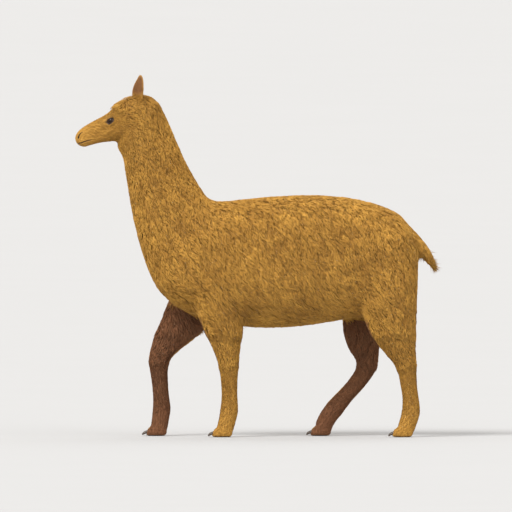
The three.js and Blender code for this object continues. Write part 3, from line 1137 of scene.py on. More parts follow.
def eye_socket(points: np.ndarray, eye: EyeFrame) -> np.ndarray:
    """Opens the skin over an eye and folds it round the ball.

    Args:
        points: The skin's points.
        eye: The eye.

    Returns:
        The moved points.
    """
    gap = points - eye.centre
    far = np.linalg.norm(gap, axis=1)
    gaze, _, up = eye.axes
    near = (far < 2.6 * eye.radius) & (gap @ gaze > -0.2 * eye.radius)
    wide = eye.openness(points)
    above = ramp((unit(gap) @ up), -0.1, 0.4)
    lid = eye.radius + 2.2 * MM
    over = np.maximum(far, lid)
    over += 1.8 * MM * above * bell(wide, 1.72, 0.22)
    over -= 1.0 * MM * bell(wide, 1.40, 0.12) * (0.4 + 0.6 * above)
    under = eye.radius - 4.5 * MM
    inside = ramp(wide, 1.16, 1.05)
    target = over + (under - over) * inside
    fade = ramp(far, 2.5 * eye.radius, 1.6 * eye.radius)
    new = np.where(near, far + (target - far) * np.maximum(fade, inside), far)
    return eye.centre + gap * (new / np.maximum(far, 1e-9))[:, None]


# ------------------------------------------------------------------- finishes


COLOUR_INPUTS = (0, 6, 7)  # a Mix node's share and two colours, among its sockets
COLOUR_OUTPUT = 2
NUMBER_INPUTS = (0, 2, 3)  # and its share and two numbers
BUMP_DEPTH = 0.4 * MM
NOISE_SPAN = (0.3, 0.7)  # between these lies most of a noise


class Nodes:
    """A short way to write a tree of shader nodes."""

    def __init__(self, tree: bpy.types.NodeTree) -> None:
        """Starts on a tree."""
        self.tree = tree

    def put(self, socket: bpy.types.NodeSocket, value: object) -> None:
        """Links a node's result to a socket, or sets the socket's own value.

        Args:
            socket: The socket.
            value: A result, or a number, a colour or a vector.
        """
        if isinstance(value, bpy.types.NodeSocket):
            self.tree.links.new(value, socket)
        else:
            socket.default_value = value

    def fill(self, node: bpy.types.Node, values: dict[str | int, object]) -> None:
        """Puts values into a node's sockets, each found by its name or number."""
        for name, value in values.items():
            self.put(node.inputs[name], value)

    def add(self, kind: str, **settings: object) -> bpy.types.Node:
        """Adds a node.

        Args:
            kind: The node's type.
            settings: Its properties, or in "inputs" the values of its sockets.

        Returns:
            The node.
        """
        node = self.tree.nodes.new(kind)
        inputs = settings.pop("inputs", {})
        for name, value in settings.items():
            setattr(node, name, value)
        self.fill(node, inputs)
        return node

    def value(self, name: str) -> bpy.types.NodeSocket:
        """The number that the mesh stores under a name."""
        node = self.add("ShaderNodeAttribute", attribute_name=name)
        return node.outputs["Fac"]

    def mix(self, share: object, first: object, second: object, blend: str = "MIX") -> bpy.types.NodeSocket:
        """Mixes two colours.

        Args:
            share: How much of the second one shows.
            first: The first colour.
            second: The second colour.
            blend: The way they are mixed.

        Returns:
            The colour.
        """
        node = self.add("ShaderNodeMix", data_type="RGBA", blend_type=blend)
        self.fill(node, dict(zip(COLOUR_INPUTS, (share, first, second))))
        return node.outputs[COLOUR_OUTPUT]

    def sum(self, kind: str, *values: object) -> bpy.types.NodeSocket:
        """Works out one number from others.

        Args:
            kind: The sum's kind.
            values: The numbers.

        Returns:
            The number.
        """
        node = self.add("ShaderNodeMath", operation=kind)
        self.fill(node, dict(enumerate(values)))
        return node.outputs[0]

    def span(self, value: object, low: float, high: float, start: float, end: float) -> bpy.types.NodeSocket:
        """Carries a number from one range to another."""
        node = self.add("ShaderNodeMapRange", inputs={
            "Value": value, "From Min": low, "From Max": high, "To Min": start, "To Max": end})
        return node.outputs["Result"]

    def place(self) -> bpy.types.NodeSocket:
        """The place on the piece, in metres."""
        return self.add("ShaderNodeTexCoord").outputs["Object"]

    def stretched(
        self, vector: bpy.types.NodeSocket, scale: tuple[float, float, float], turn: float = 0.0
    ) -> bpy.types.NodeSocket:
        """Scales a vector along each axis, and then turns it about X."""
        node = self.add("ShaderNodeMapping", inputs={
            "Vector": vector, "Rotation": (turn, 0.0, 0.0), "Scale": scale})
        return node.outputs["Vector"]

    def noise(
        self, vector: bpy.types.NodeSocket, scale: float, detail: float, rough: float = 0.5
    ) -> bpy.types.NodeSocket:
        """A cloudy number over the places that a vector gives."""
        node = self.add("ShaderNodeTexNoise", inputs={
            "Vector": vector, "Scale": scale, "Detail": detail, "Roughness": rough})
        return node.outputs["Fac"]

    def bump(self, height: bpy.types.NodeSocket, strength: float) -> bpy.types.NodeSocket:
        """The normal of a surface that a height makes uneven."""
        node = self.add("ShaderNodeBump", inputs={
            "Strength": strength, "Distance": BUMP_DEPTH, "Height": height})
        return node.outputs["Normal"]


def new_material(name: str) -> tuple[bpy.types.Material, Nodes, bpy.types.Node]:
    """Starts a material.

    Args:
        name: Its name.

    Returns:
        The material, its nodes and its shader.
    """
    material = bpy.data.materials.new(name)
    material.use_nodes = True
    tree = material.node_tree
    shader = next(node for node in tree.nodes if node.type == "BSDF_PRINCIPLED")
    return material, Nodes(tree), shader


def new_group(name: str, inputs: dict[str, tuple[str, object]], outputs: dict[str, str]) -> tuple[
        bpy.types.NodeTree, Nodes, bpy.types.Node, bpy.types.Node]:
    """Starts a group of shader nodes.

    Args:
        name: Its name.
        inputs: The kind and the first value of each input.
        outputs: The kind of each output.

    Returns:
        The group, its nodes, and its input and output nodes.
    """
    tree = bpy.data.node_groups.new(name, "ShaderNodeTree")
    for label, (kind, value) in inputs.items():
        socket = tree.interface.new_socket(label, in_out="INPUT", socket_type=kind)
        socket.default_value = value
    for label, kind in outputs.items():
        tree.interface.new_socket(label, in_out="OUTPUT", socket_type=kind)
    nodes = Nodes(tree)
    return tree, nodes, nodes.add("NodeGroupInput"), nodes.add("NodeGroupOutput")


Colour = tuple[float, float, float, float]


@dataclass(frozen=True)
class Palette:
    """The colours of the coat, of its painted shade and of the bare hide."""

    gold: Colour = (0.615, 0.328, 0.057, 1.0)
    gold_deep: Colour = (0.330, 0.156, 0.024, 1.0)
    # brown and brown_deep are painted shade, on the inner sides of the legs, where they are also a two-tone
    # marking, and in the hollows of the ears
    brown: Colour = (0.262, 0.110, 0.047, 1.0)
    brown_deep: Colour = (0.130, 0.049, 0.021, 1.0)
    bare: Colour = (0.036, 0.022, 0.017, 1.0)
    bare_pale: Colour = (0.070, 0.042, 0.032, 1.0)

    @cache
    def group(self) -> bpy.types.NodeTree:
        """The colour of coat and hide from their markings and their painted shade, as one group for all.

        Returns:
            The group.
        """
        number = "NodeSocketFloat"
        inputs = {"Dark": (number, 0.0), "Tone": (number, 0.5), "Root": (number, 0.0)}
        tree, nodes, start, end = new_group("coat colour", inputs, {"Colour": "NodeSocketColor"})
        light = nodes.mix(start.outputs["Tone"], self.gold_deep, self.gold)
        shade = nodes.mix(start.outputs["Tone"], self.brown_deep, self.brown)
        # the Dark input mixes in the brown painted shade of the legs' inner sides and the ears' hollows
        coat = nodes.mix(start.outputs["Dark"], light, shade)
        # the roots are darker: partly the darker underwool, partly painted shade deep in the coat
        deep = nodes.mix(1.0, coat, (0.60, 0.54, 0.50, 1.0), "MULTIPLY")
        tree.links.new(nodes.mix(start.outputs["Root"], coat, deep), end.inputs["Colour"])
        return tree


PALETTE = Palette()


@dataclass(frozen=True)
class FleeceFinish:
    """The finish of the tufts."""

    name: str = "fleece"
    roughness: float = 0.82
    sheen: float = 0.12
    sheen_tint: Colour = (0.90, 0.66, 0.36, 1.0)
    fibres: tuple[float, float, float] = (16.0, 1.6, 1.0)  # how many show round a tuft and along it
    tuft_step: float = 37.0  # sets each tuft's fibres apart from the next one's
    grain: float = 0.34  # how far the fibres' tones differ
    # the tufts darken towards their roots: partly darker underwool, partly painted shade deep in the coat
    root_shade: float = 0.6
    root_end: float = 0.6  # the share of the tuft where its root's shade ends

    @cache
    def material(self) -> bpy.types.Material:
        """Makes the material once, and gives it.

        Returns:
            The material.
        """
        material, nodes, shader = new_material(self.name)
        strand = nodes.add("ShaderNodeUVMap", uv_map="Strand")
        fibre = nodes.add("ShaderNodeTexNoise", noise_dimensions="4D", inputs={
            "Vector": nodes.stretched(strand.outputs["UV"], self.fibres),
            "W": nodes.sum("MULTIPLY", nodes.value("tone"), self.tuft_step),
            "Scale": 1.0, "Detail": 3.0, "Roughness": 0.6})
        grain = nodes.span(fibre.outputs["Fac"], *NOISE_SPAN, -self.grain, self.grain)
        tone = nodes.sum("ADD", nodes.value("tone"), grain)
        root = nodes.span(nodes.value("along"), 0.0, self.root_end, self.root_shade, 0.0)
        colour = nodes.add("ShaderNodeGroup", node_tree=PALETTE.group(), inputs={
            "Dark": nodes.value("dark"), "Tone": tone, "Root": root})
        nodes.fill(shader, {
            "Base Color": colour.outputs["Colour"], "Normal": nodes.bump(fibre.outputs["Fac"], 0.4),
            "Roughness": self.roughness, "Specular IOR Level": 0.25, "Sheen Weight": self.sheen,
            "Sheen Roughness": 0.5, "Sheen Tint": self.sheen_tint})
        return material


@dataclass(frozen=True)
class HideFinish:
    """The finish of the skin: short fur over it, and bare hide at nose, lips, lids and soles."""

    name: str = "furred hide"
    across: float = 900.0  # hairs to the metre, side by side
    lengthwise: float = 130.0  # and end to end
    head_from: tuple[float, float] = (1.1, 1.2)  # the height where the hairs turn to lie along the head
    pores: float = 620.0
    mottle: float = 28.0
    shade: float = 0.16  # how dark the skin's fur is, as part of a root's full shade: partly darker underfur, partly painted shade under the coat
    rough_fur: float = 0.8
    rough_hide: float = 0.5

    @cache
    def material(self) -> bpy.types.Material:
        """Makes the material once, and gives it.

        Returns:
            The material.
        """
        material, nodes, shader = new_material(self.name)
        place = nodes.place()
        split = nodes.add("ShaderNodeSeparateXYZ", inputs={"Vector": place})
        head = nodes.span(split.outputs["Z"], *self.head_from, 0.0, 1.0)
        along = nodes.stretched(place, (self.across, self.lengthwise, self.across), HEAD.pitch)
        down = nodes.stretched(place, (self.across, self.across, self.lengthwise))
        fur = nodes.noise(nodes.mix(head, down, along), 1.0, 3.0, 0.65)
        pores = nodes.add("ShaderNodeTexVoronoi", inputs={"Vector": place, "Scale": self.pores})
        mottle = nodes.noise(place, self.mottle, 4.0)
        bare = nodes.value("bare")
        tone = nodes.sum("ADD", nodes.span(fur, *NOISE_SPAN, 0.25, 0.75),
                         nodes.span(mottle, *NOISE_SPAN, -0.15, 0.15))
        coat = nodes.add("ShaderNodeGroup", node_tree=PALETTE.group(), inputs={
            "Dark": nodes.value("dark"), "Tone": tone, "Root": self.shade})
        hide = nodes.mix(nodes.span(mottle, 0.35, 0.7, 0.0, 1.0), PALETTE.bare, PALETTE.bare_pale)
        height = nodes.add("ShaderNodeMix", data_type="FLOAT")
        nodes.fill(height, dict(zip(NUMBER_INPUTS, (bare, fur, pores.outputs["Distance"]))))
        nodes.fill(shader, {
            "Base Color": nodes.mix(bare, coat.outputs["Colour"], hide),
            "Roughness": nodes.span(bare, 0.0, 1.0, self.rough_fur, self.rough_hide),
            "Normal": nodes.bump(height.outputs[0], 0.6), "Specular IOR Level": 0.3})
        return material


@dataclass(frozen=True)
class EyeFinish:
    """A wet, dark brown eye with a level pupil."""

    name: str = "wet eye"
    iris: float = math.radians(37)
    pupil: tuple[float, float] = (math.radians(24), math.radians(9))

    @cache
    def material(self) -> bpy.types.Material:
        """Makes the material once, and gives it.

        Returns:
            The material.
        """
        material, nodes, shader = new_material(self.name)
        gaze = nodes.add("ShaderNodeUVMap", uv_map="Gaze")
        split = nodes.add("ShaderNodeSeparateXYZ", inputs={"Vector": gaze.outputs["UV"]})
        across, above = split.outputs["X"], split.outputs["Y"]
        rim = nodes.sum("SQRT", nodes.sum(
            "ADD", nodes.sum("MULTIPLY", across, across), nodes.sum("MULTIPLY", above, above)))
        wide = nodes.sum("DIVIDE", across, self.pupil[0])
        tall = nodes.sum("DIVIDE", above, self.pupil[1])
        slot = nodes.sum("ADD", nodes.sum("POWER", nodes.sum("ABSOLUTE", wide), 3.0),
                         nodes.sum("POWER", nodes.sum("ABSOLUTE", tall), 3.0))
        rays = nodes.noise(gaze.outputs["UV"], 34.0, 4.0)
        iris = nodes.mix(rays, (0.008, 0.004, 0.002, 1.0), (0.042, 0.018, 0.008, 1.0))
        white = (0.040, 0.024, 0.018, 1.0)
        ball = nodes.mix(nodes.span(rim, self.iris * 0.94, self.iris * 1.08, 0.0, 1.0), iris, white)
        whole = nodes.mix(nodes.span(slot, 0.8, 1.25, 1.0, 0.0), ball, (0.004, 0.004, 0.006, 1.0))
        nodes.fill(shader, {
            "Base Color": whole, "Roughness": 0.3, "Specular IOR Level": 0.0,
            "Coat Weight": 0.7, "Coat Roughness": 0.03, "Coat IOR": 1.38})
        return material


@dataclass(frozen=True)
class HornFinish:
    """The finish of the nails and, darker and plainer, of the lashes."""

    name: str = "horn of the nails"
    pale: Colour = (0.090, 0.058, 0.038, 1.0)
    dark: Colour = (0.028, 0.018, 0.013, 1.0)
    roughness: float = 0.42
    ridges: tuple[float, float, float] = (60.0, 500.0, 260.0)  # to the metre, along X, Y and Z

    @cache
    def material(self) -> bpy.types.Material:
        """Makes the material once, and gives it.

        Returns:
            The material.
        """
        material, nodes, shader = new_material(self.name)
        grain = nodes.noise(nodes.stretched(nodes.place(), self.ridges), 1.0, 4.0)
        nodes.fill(shader, {
            "Base Color": nodes.mix(grain, self.dark, self.pale), "Normal": nodes.bump(grain, 0.5),
            "Roughness": nodes.span(grain, *NOISE_SPAN, self.roughness - 0.08, self.roughness + 0.12)})
        return material


LASH_FINISH = HornFinish("dark lash", (0.020, 0.013, 0.010, 1.0), (0.010, 0.007, 0.006, 1.0))


# ------------------------------------------------------------- eyes and nails


def upright_edges(edges: Iterable[bmesh.types.BMEdge]) -> list[bmesh.types.BMEdge]:
    """The edges that run from one end to the other of a cone or rod of length one."""
    return [edge for edge in edges if abs(edge.verts[0].co.z - edge.verts[1].co.z) > 0.5]


@dataclass
class Eye:
    """An eyeball with its cornea, its lids and its lashes."""

    name: str
    cornea: float = 1.1 * MM
    cornea_half: float = math.radians(40)
    lid_steps: int = 64
    lash_count: int = 30
    lash_length: float = 17 * MM

    @property
    def place(self) -> EyeFrame:
        """Where this eye is and looks."""
        return EYES[self.name]

    def build(self) -> bpy.types.Object:
        """Makes the eyeball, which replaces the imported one.

        Returns:
            The eyeball's object.
        """
        eye = self.place
        shape = bmesh.new()
        bmesh.ops.create_uvsphere(shape, u_segments=48, v_segments=32, radius=eye.radius)
        bmesh.ops.translate(shape, verts=shape.verts, vec=Vector(eye.centre))
        layer = shape.loops.layers.uv.new("Gaze")
        angles = np.stack(eye.angles(np.array([vert.co for vert in shape.verts])), axis=1)
        for vert, (across, above) in zip(shape.verts, angles):
            off = math.hypot(across, above)
            swell = self.cornea * math.cos(min(off / self.cornea_half, 1.0) * math.pi / 2)
            vert.co += (vert.co - Vector(eye.centre)).normalized() * swell
            for loop in vert.link_loops:
                loop[layer].uv = (across, above)
        piece = object_of(f"eyeball_{self.name}", shape)
        piece.data.materials.append(EyeFinish().material())
        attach(piece, BODY)
        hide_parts(f"eye_{self.name}")
        return piece

    def lids(self) -> bpy.types.Object:
        """The lids: a closed roll of hide round the opening, laid over the skin's socket.

        Returns:
            Their object, which becomes part of the skin.
        """
        eye = self.place
        lip = eye.radius
        profile = [
            (0.96, lip + 0.1 * MM), (0.975, lip + 0.6 * MM), (0.99, lip + 1.3 * MM), (1.02, lip + 2.0 * MM),
            (1.06, lip + 2.4 * MM), (1.11, lip + 2.4 * MM), (1.15, lip + 1.9 * MM), (1.18, lip + 0.6 * MM),
            (1.17, lip - 1.5 * MM), (1.07, lip - 1.8 * MM), (0.98, lip - 1.2 * MM),
        ]
        shape = bmesh.new()
        bmesh.ops.create_grid(shape, x_segments=self.lid_steps, y_segments=len(profile), size=0.5)
        for vert in shape.verts:
            around = (vert.co.x + 0.5) * 2 * math.pi
            step = round((vert.co.y + 0.5) * len(profile)) % len(profile)
            widen, radius = profile[step]
            vert.co = Vector(eye.at(around, widen, radius))
        bmesh.ops.remove_doubles(shape, verts=shape.verts, dist=1e-6)
        bmesh.ops.recalc_face_normals(shape, faces=shape.faces)
        piece = object_of(f"lids_{self.name}", shape)
        set_values(piece.data, "bare", np.ones(len(piece.data.vertices)))
        set_values(piece.data, "dark", np.zeros(len(piece.data.vertices)))
        piece.data.materials.append(HideFinish().material())
        return piece

    def lashes(self) -> bpy.types.Object:
        """The long lashes of the upper lid, and a few short ones below.

        Returns:
            Their object.
        """
        eye = self.place
        rng = np.random.default_rng(41)
        shape = bmesh.new()
        for row, (start, end, count, length) in enumerate((
                (0.10, 0.90, self.lash_count, self.lash_length), (1.12, 1.88, 12, 0.4 * self.lash_length))):
            for number in range(count):
                around = math.pi * (start + (end - start) * (number + rng.uniform(0.3, 0.7)) / count)
                root = eye.at(around, 1.03, eye.radius + 2.2 * MM)
                out = unit(eye.at(around, 1.03, eye.radius * 2) - root)
                away = unit(eye.at(around, 1.5, eye.radius + 2.2 * MM) - root)
                reach = length * rng.uniform(0.8, 1.1)
                droop = np.array([0.0, 0.0, -0.35 if row == 0 else -0.1])
                before = len(shape.verts)
                bmesh.ops.create_cone(
                    shape, cap_ends=True, cap_tris=False, segments=4,
                    radius1=0.42 * MM, radius2=0.08 * MM, depth=1.0)
                shape.verts.ensure_lookup_table()
                sides = {edge for vert in shape.verts[before:] for edge in vert.link_edges}
                bmesh.ops.subdivide_edges(shape, edges=upright_edges(sides), cuts=3)
                shape.verts.ensure_lookup_table()
                verts = shape.verts[before:]
                across = unit(np.cross(out, away))
                for vert in verts:
                    share = vert.co.z + 0.5
                    way = out + away * (0.25 + 0.75 * share) + droop * share * (1 - share)
                    spine = root + reach * share * unit(way)
                    wide = np.array([vert.co.x, vert.co.y])
                    vert.co = Vector(spine + across * wide[0] + np.cross(across, unit(way)) * wide[1])
        bmesh.ops.recalc_face_normals(shape, faces=shape.faces)
        piece = object_of(f"lashes_{self.name}", shape)
        piece.data.materials.append(LASH_FINISH.material())
        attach(piece, BODY)
        return piece


@dataclass
class Nail:
    """One toe's nail: a thick horn, rounded above, that bends down to a blunt tip."""

    node: str
    around: int = 20
    along: int = 12
    base: float = 8.6 * MM  # half the width where it leaves the toe
    height: float = 8.0 * MM

    def build(self) -> bpy.types.Object:
        """Makes the nail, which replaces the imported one.

        Returns:
            The nail's object.
        """
        low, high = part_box(self.node)
        middle = (low.x + high.x) / 2
        start = Vector((middle, high.y + 2 * MM, high.z - 11 * MM))
        bend = Vector((middle, low.y + 14 * MM, high.z - 14 * MM))
        tip = Vector((middle, low.y + 1.5 * MM, low.z + 2.5 * MM))
        shape = bmesh.new()
        bmesh.ops.create_cone(
            shape, cap_ends=True, segments=self.around, radius1=1.0, radius2=1.0, depth=1.0)
        upright = upright_edges(shape.edges)
        bmesh.ops.subdivide_edges(shape, edges=upright, cuts=self.along)
        for vert in shape.verts:
            share = vert.co.z + 0.5
            spine = start.lerp(bend, share).lerp(bend.lerp(tip, share), share)
            way = (bend.lerp(tip, share) - start.lerp(bend, share)).normalized()
            above = Vector((1, 0, 0)).cross(way).normalized()
            above = above if above.z > 0 else -above
            narrow = math.sqrt(max(1.0 - share**3.2, 0.03))
            aside = vert.co.x * self.base * narrow
            flat = vert.co.y * (1.0 if vert.co.y > 0 else 0.7)
            vert.co = spine + Vector((aside, 0, 0)) + above * flat * self.height * narrow
            vert.co.z = max(vert.co.z, 0.4 * MM)
        bmesh.ops.recalc_face_normals(shape, faces=shape.faces)
        piece = object_of(self.node.replace("nail", "claw"), shape)
        piece.data.materials.append(HornFinish().material())
        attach(piece, BODY)
        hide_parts(self.node)
        return piece


# ----------------------------------------------------------------- the fleece


@dataclass(frozen=True)
class Lock:
    """The shape of a tuft: three-sided rings along a bent line that end in a point."""

    rings: tuple[tuple[float, float, float], ...]  # share of length, of width, of depth above the skin
    shade_from: float = 0.0  # how far along the tuft its root's shade begins

    @property
    def verts(self) -> int:
        """How many vertices one tuft has."""
        return 3 * len(self.rings) + 1

    def faces(self) -> list[tuple[int, ...]]:
        """The faces of one tuft, by its vertices: a cap, the sides and the point.

        Returns:
            The faces.
        """
        found: list[tuple[int, ...]] = [(0, 2, 1)]
        for ring in range(len(self.rings) - 1):
            for side in range(3):
                here, there = 3 * ring + side, 3 * ring + (side + 1) % 3
                found.append((here, there, there + 3, here + 3))
        last = 3 * (len(self.rings) - 1)
        found += [(last + side, last + (side + 1) % 3, self.verts - 1) for side in range(3)]
        return found


LONG_LOCK = Lock(((0.0, 0.75, -0.12), (0.36, 1.0, 0.62), (0.72, 0.78, 0.92)))
SHORT_LOCK = Lock(((0.0, 0.8, -0.15), (0.48, 1.0, 0.76)))
BLADE = Lock(((0.0, 1.0, -0.25),), 0.5)
TIP_HEIGHT = 0.90
LONG_FROM = 22 * MM  # tufts shorter than this have the simpler shape
BLADE_BELOW = 13 * MM  # and ones shorter than this the plainest
BAKE_PATCH = 0.003
TUFT_CORNERS = ((-1.0, -0.35), (1.0, -0.35), (0.0, 0.75))  # aside and above, two below and one on top


@dataclass
class Roots:
    """Where the tufts grow, and how each one is."""

    points: np.ndarray
    normals: np.ndarray
    lie: np.ndarray
    lift: np.ndarray
    hair: np.ndarray
    # how dark it is painted: painted shade on the legs' inner sides and in the ears' hollows
    dark: np.ndarray
    tone: np.ndarray
    pull: np.ndarray  # how far the tip is drawn towards the middle of its clump

    def pick(self, chosen: np.ndarray) -> "Roots":
        """Some of the tufts."""
        return Roots(*(values[chosen] for values in vars(self).values()))


@dataclass
class Coat:
    """All the tufts, as closed meshes that overlap and lie along the body."""

    skin: Skin
    seed: int = 7
    dense: float = 3.2  # tries for each tuft that fits
    clump: float = 21 * MM  # least distance between two clumps of the longest hair, side by side
    drawn: float = 0.54  # how much of a clump's distance along the coat isn't counted
    least_clump: float = 7 * MM
    gather: float = 0.55
    reach_back: float = 0.45  # of a tuft's length behind its root, where the coat parts
    long_share: float = 0.35  # of the long tufts that have the fuller shape
    flat: float = 0.46  # a tuft's thickness as a share of its width
    hang: tuple[float, float, float] = (0.0, 0.5, -0.87)  # the way clumps are drawn out
    bare_limit: float = 0.55  # hide barer than this grows no tufts
    stray: float = 0.10  # how far a tuft's own way differs
    lifted_stray: float = 0.8  # and how much further where the coat stands up
    clump_stray: float = 0.13  # how far a clump's shared way differs
    middle_tone: float = 0.5
    patch: float = 0.22  # the size of the coat's lighter and darker patches
    patch_tone: float = 0.14
    clump_tone: float = 0.13
    tuft_tone: float = 0.09
    along_pull: float = 0.8  # how much of the pull along the coat is left out
    length_spread: tuple[float, float] = (0.86, 1.12)
    depth_spread: tuple[float, float] = (0.90, 1.05)
    width_spread: tuple[float, float] = (0.75, 1.2)
    lifted_loss: float = 0.4  # how much shorter a tuft is where the coat stands up
    bend: float = 0.16
    pull_power: float = 1.5  # the tip gives way to the pull more than the middle does
    free_from: float = 14 * MM  # a tuft that hangs further than this from the skin
    free_full: float = 34 * MM  # lets go of it, and past this it hangs free
    twist: float = 0.35
    blade_spread: tuple[float, float] = (0.6, 0.8)  # the blades' limit: its least share, and what chance adds
    tree: BVHTree = field(init=False)

    def sample(self) -> Roots:
        """Scatters the roots over the skin, no two closer than the coat's spacing.

        Returns:
            The tufts.
        """
        rng = np.random.default_rng(self.seed)
        mesh = self.skin.piece.data
        points, normals = mesh_points(mesh), mesh_normals(mesh)
        triangles = mesh_triangles(mesh)
        fields = self.skin.fields
        corners = points[triangles]
        first, second = corners[:, 1] - corners[:, 0], corners[:, 2] - corners[:, 0]
        area = np.linalg.norm(np.cross(first, second), axis=1) / 2
        near = fields.near(corners.mean(axis=1))
        spacing = fields.hair[near, 3]
        wanted = area / spacing**2 * self.dense
        number = rng.poisson(wanted)
        face = np.repeat(np.arange(len(area)), number)
        face = face[rng.permutation(len(face))]
        one, two = rng.random(len(face)), rng.random(len(face))
        flip = one + two > 1
        one[flip], two[flip] = 1 - one[flip], 1 - two[flip]
        weights = np.stack([1 - one - two, one, two], axis=1)[:, :, None]
        places = (corners[face] * weights).sum(axis=1)
        ups = unit((normals[triangles[face]] * weights).sum(axis=1))
        space = spacing[face]
        bare = MARKINGS_AND_SHADE.bare(places)
        keep = self.spaced(places, space) & (bare < self.bare_limit)
        places, ups, near = places[keep], ups[keep], near[face][keep]
        log.info("coat: %d roots of %d tries", len(places), len(keep))
        lift = fields.lift[near]
        hair = fields.hair[near].copy()
        leader = self.leaders(places, hair[:, 1])
        shared = rng.normal(size=(len(places), 6))[leader]
        stray = (self.stray + self.lifted_stray * lift)[:, None] * rng.normal(size=places.shape)
        lie = flatten_to(fields.lie[near] + stray + self.clump_stray * shared[:, :3], ups)
        # the tufts carry the same painted shade as the skin below them
        dark = MARKINGS_AND_SHADE.dark(places, fields.medial[near], ups)
        tone = self.middle_tone + self.patch_tone * soft_noise(places, self.patch, 1.0)
        tone += self.clump_tone * shared[:, 3]
        tone += self.tuft_tone * rng.normal(size=len(places))
        hair[:, 0] *= 0.93 + 0.11 * np.tanh(shared[:, 4])
        hair[:, 1] *= 0.98 + 0.16 * np.tanh(shared[:, 5])
        pull = (places[leader] - places) * (self.gather * (1.0 - lift))[:, None]
        pull -= ups * dots(pull, ups) + self.along_pull * lie * dots(pull, lie)
        return Roots(places, ups, lie, lift, hair, dark, np.clip(tone, 0.0, 1.0), pull)

    def leaders(self, places: np.ndarray, lengths: np.ndarray) -> np.ndarray:
        """The number of the tuft that leads the clump of each tuft: longer hair makes wider clumps.

        Args:
            places: The roots.
            lengths: The tufts' lengths.

        Returns:
            The leaders' numbers.
        """
        order = np.random.default_rng(self.seed + 1).permutation(len(places))
        size = np.clip(lengths[order] / HAIR[Part.TRUNK].length, 0.0, 1.0)
        hang = np.array(self.hang)
        shortened = places - self.drawn * (places @ hang)[:, None] * hang
        leaders = order[self.spaced(shortened[order], np.maximum(self.clump * size, self.least_clump))]
        tree = point_tree(shortened[leaders])
        return leaders[[tree.find(place)[1] for place in shortened]]

    def spaced(self, places: np.ndarray, space: np.ndarray) -> np.ndarray:
        """Which of the places stay if each keeps its distance from those before it.

        Args:
            places: The places.
            space: The least distance at each one.

        Returns:
            True for each place that stays.
        """
        tree = point_tree(places)
        keep = np.ones(len(places), bool)
        for number, place in enumerate(places):
            if keep[number]:
                for _, other, _ in tree.find_range(place, space[number]):
                    if other > number:
                        keep[other] = False
        return keep

    def lines(self, roots: Roots, lock: Lock, rng: np.random.Generator) -> tuple[np.ndarray, np.ndarray]:
        """The middle lines of tufts.

        Args:
            roots: The tufts.
            lock: Their shape.
            rng: The source of chance.

        Returns:
            The ring middles and the tips, and the way out at each of them.
        """
        count = len(roots.points)
        spread = rng.uniform(*self.length_spread, count)
        length = roots.hair[:, 1] * spread * (1.0 - self.lifted_loss * roots.lift)
        depth = roots.hair[:, 0] * rng.uniform(*self.depth_spread, count)
        shares = [ring[0] for ring in lock.rings] + [1.0]
        heights = [ring[2] for ring in lock.rings] + [TIP_HEIGHT]
        bend = rng.normal(0.0, self.bend, count)[:, None] * np.cross(roots.normals, roots.lie)
        start = roots.points - roots.lie * (self.reach_back * length * roots.lift)[:, None]
        middles = np.empty((count, len(shares), 3))
        outs = np.empty_like(middles)
        for number, (share, height) in enumerate(zip(shares, heights)):
            reach = (length * share)[:, None]
            wanted = start + reach * unit(roots.lie + bend * share) + roots.pull * share**self.pull_power
            surface, outward = self.on_skin(wanted)
            if number > 0:
                gap = np.linalg.norm(wanted - surface, axis=1)
                free = (ramp(gap, self.free_from, self.free_full) * (1.0 - roots.lift))[:, None]
                surface = surface + (wanted - surface) * free
                outward = unit(outward + (roots.normals - outward) * free)
            outs[:, number] = outward
            middles[:, number] = surface + outward * (depth * height)[:, None]
        return middles, outs

    def on_skin(self, points: np.ndarray) -> tuple[np.ndarray, np.ndarray]:
        """The skin's nearest place to each point, and the way out there.

        Args:
            points: The points, one a row.

        Returns:
            The places and the ways out.
        """
        found = [self.tree.find_nearest(point) for point in points]
        places = np.array([hit[0] for hit in found])
        outward = np.array([hit[1] for hit in found])
        return places, outward

    def mesh(self, name: str, roots: Roots, lock: Lock, unwrap: np.ndarray) -> bpy.types.Mesh:
        """Makes one mesh of many tufts.

        Args:
            name: The mesh's name.
            roots: The tufts.
            lock: Their shape.
            unwrap: The place of each root on an unwrap of the skin.

        Returns:
            The mesh.
        """
        rng = np.random.default_rng(self.seed + len(roots.points))
        count = len(roots.points)
        middles, outs = self.lines(roots, lock, rng)
        ways = unit(np.diff(middles, axis=1, append=middles[:, -1:] * 2 - middles[:, -2:-1]))
        sides = unit(np.cross(outs, ways))
        tops = unit(np.cross(ways, sides))
        width = roots.hair[:, 2] * rng.uniform(*self.width_spread, count)
        twist = rng.normal(0.0, self.twist, count)
        points = np.empty((count, lock.verts, 3))
        for ring, (_, share, _) in enumerate(lock.rings):
            half = (width * share / 2)[:, None]
            for corner, (aside, above) in enumerate(TUFT_CORNERS):
                across = aside * np.cos(twist) - above * self.flat * 2 * np.sin(twist)
                raised = aside * np.sin(twist) * 0.6 + above * self.flat * 2 * np.cos(twist)
                points[:, 3 * ring + corner] = (
                    middles[:, ring] + sides[:, ring] * half * across[:, None]
                    + tops[:, ring] * half * raised[:, None])
        points[:, -1] = middles[:, -1]
        return self.assemble(name, roots, lock, points, unwrap)

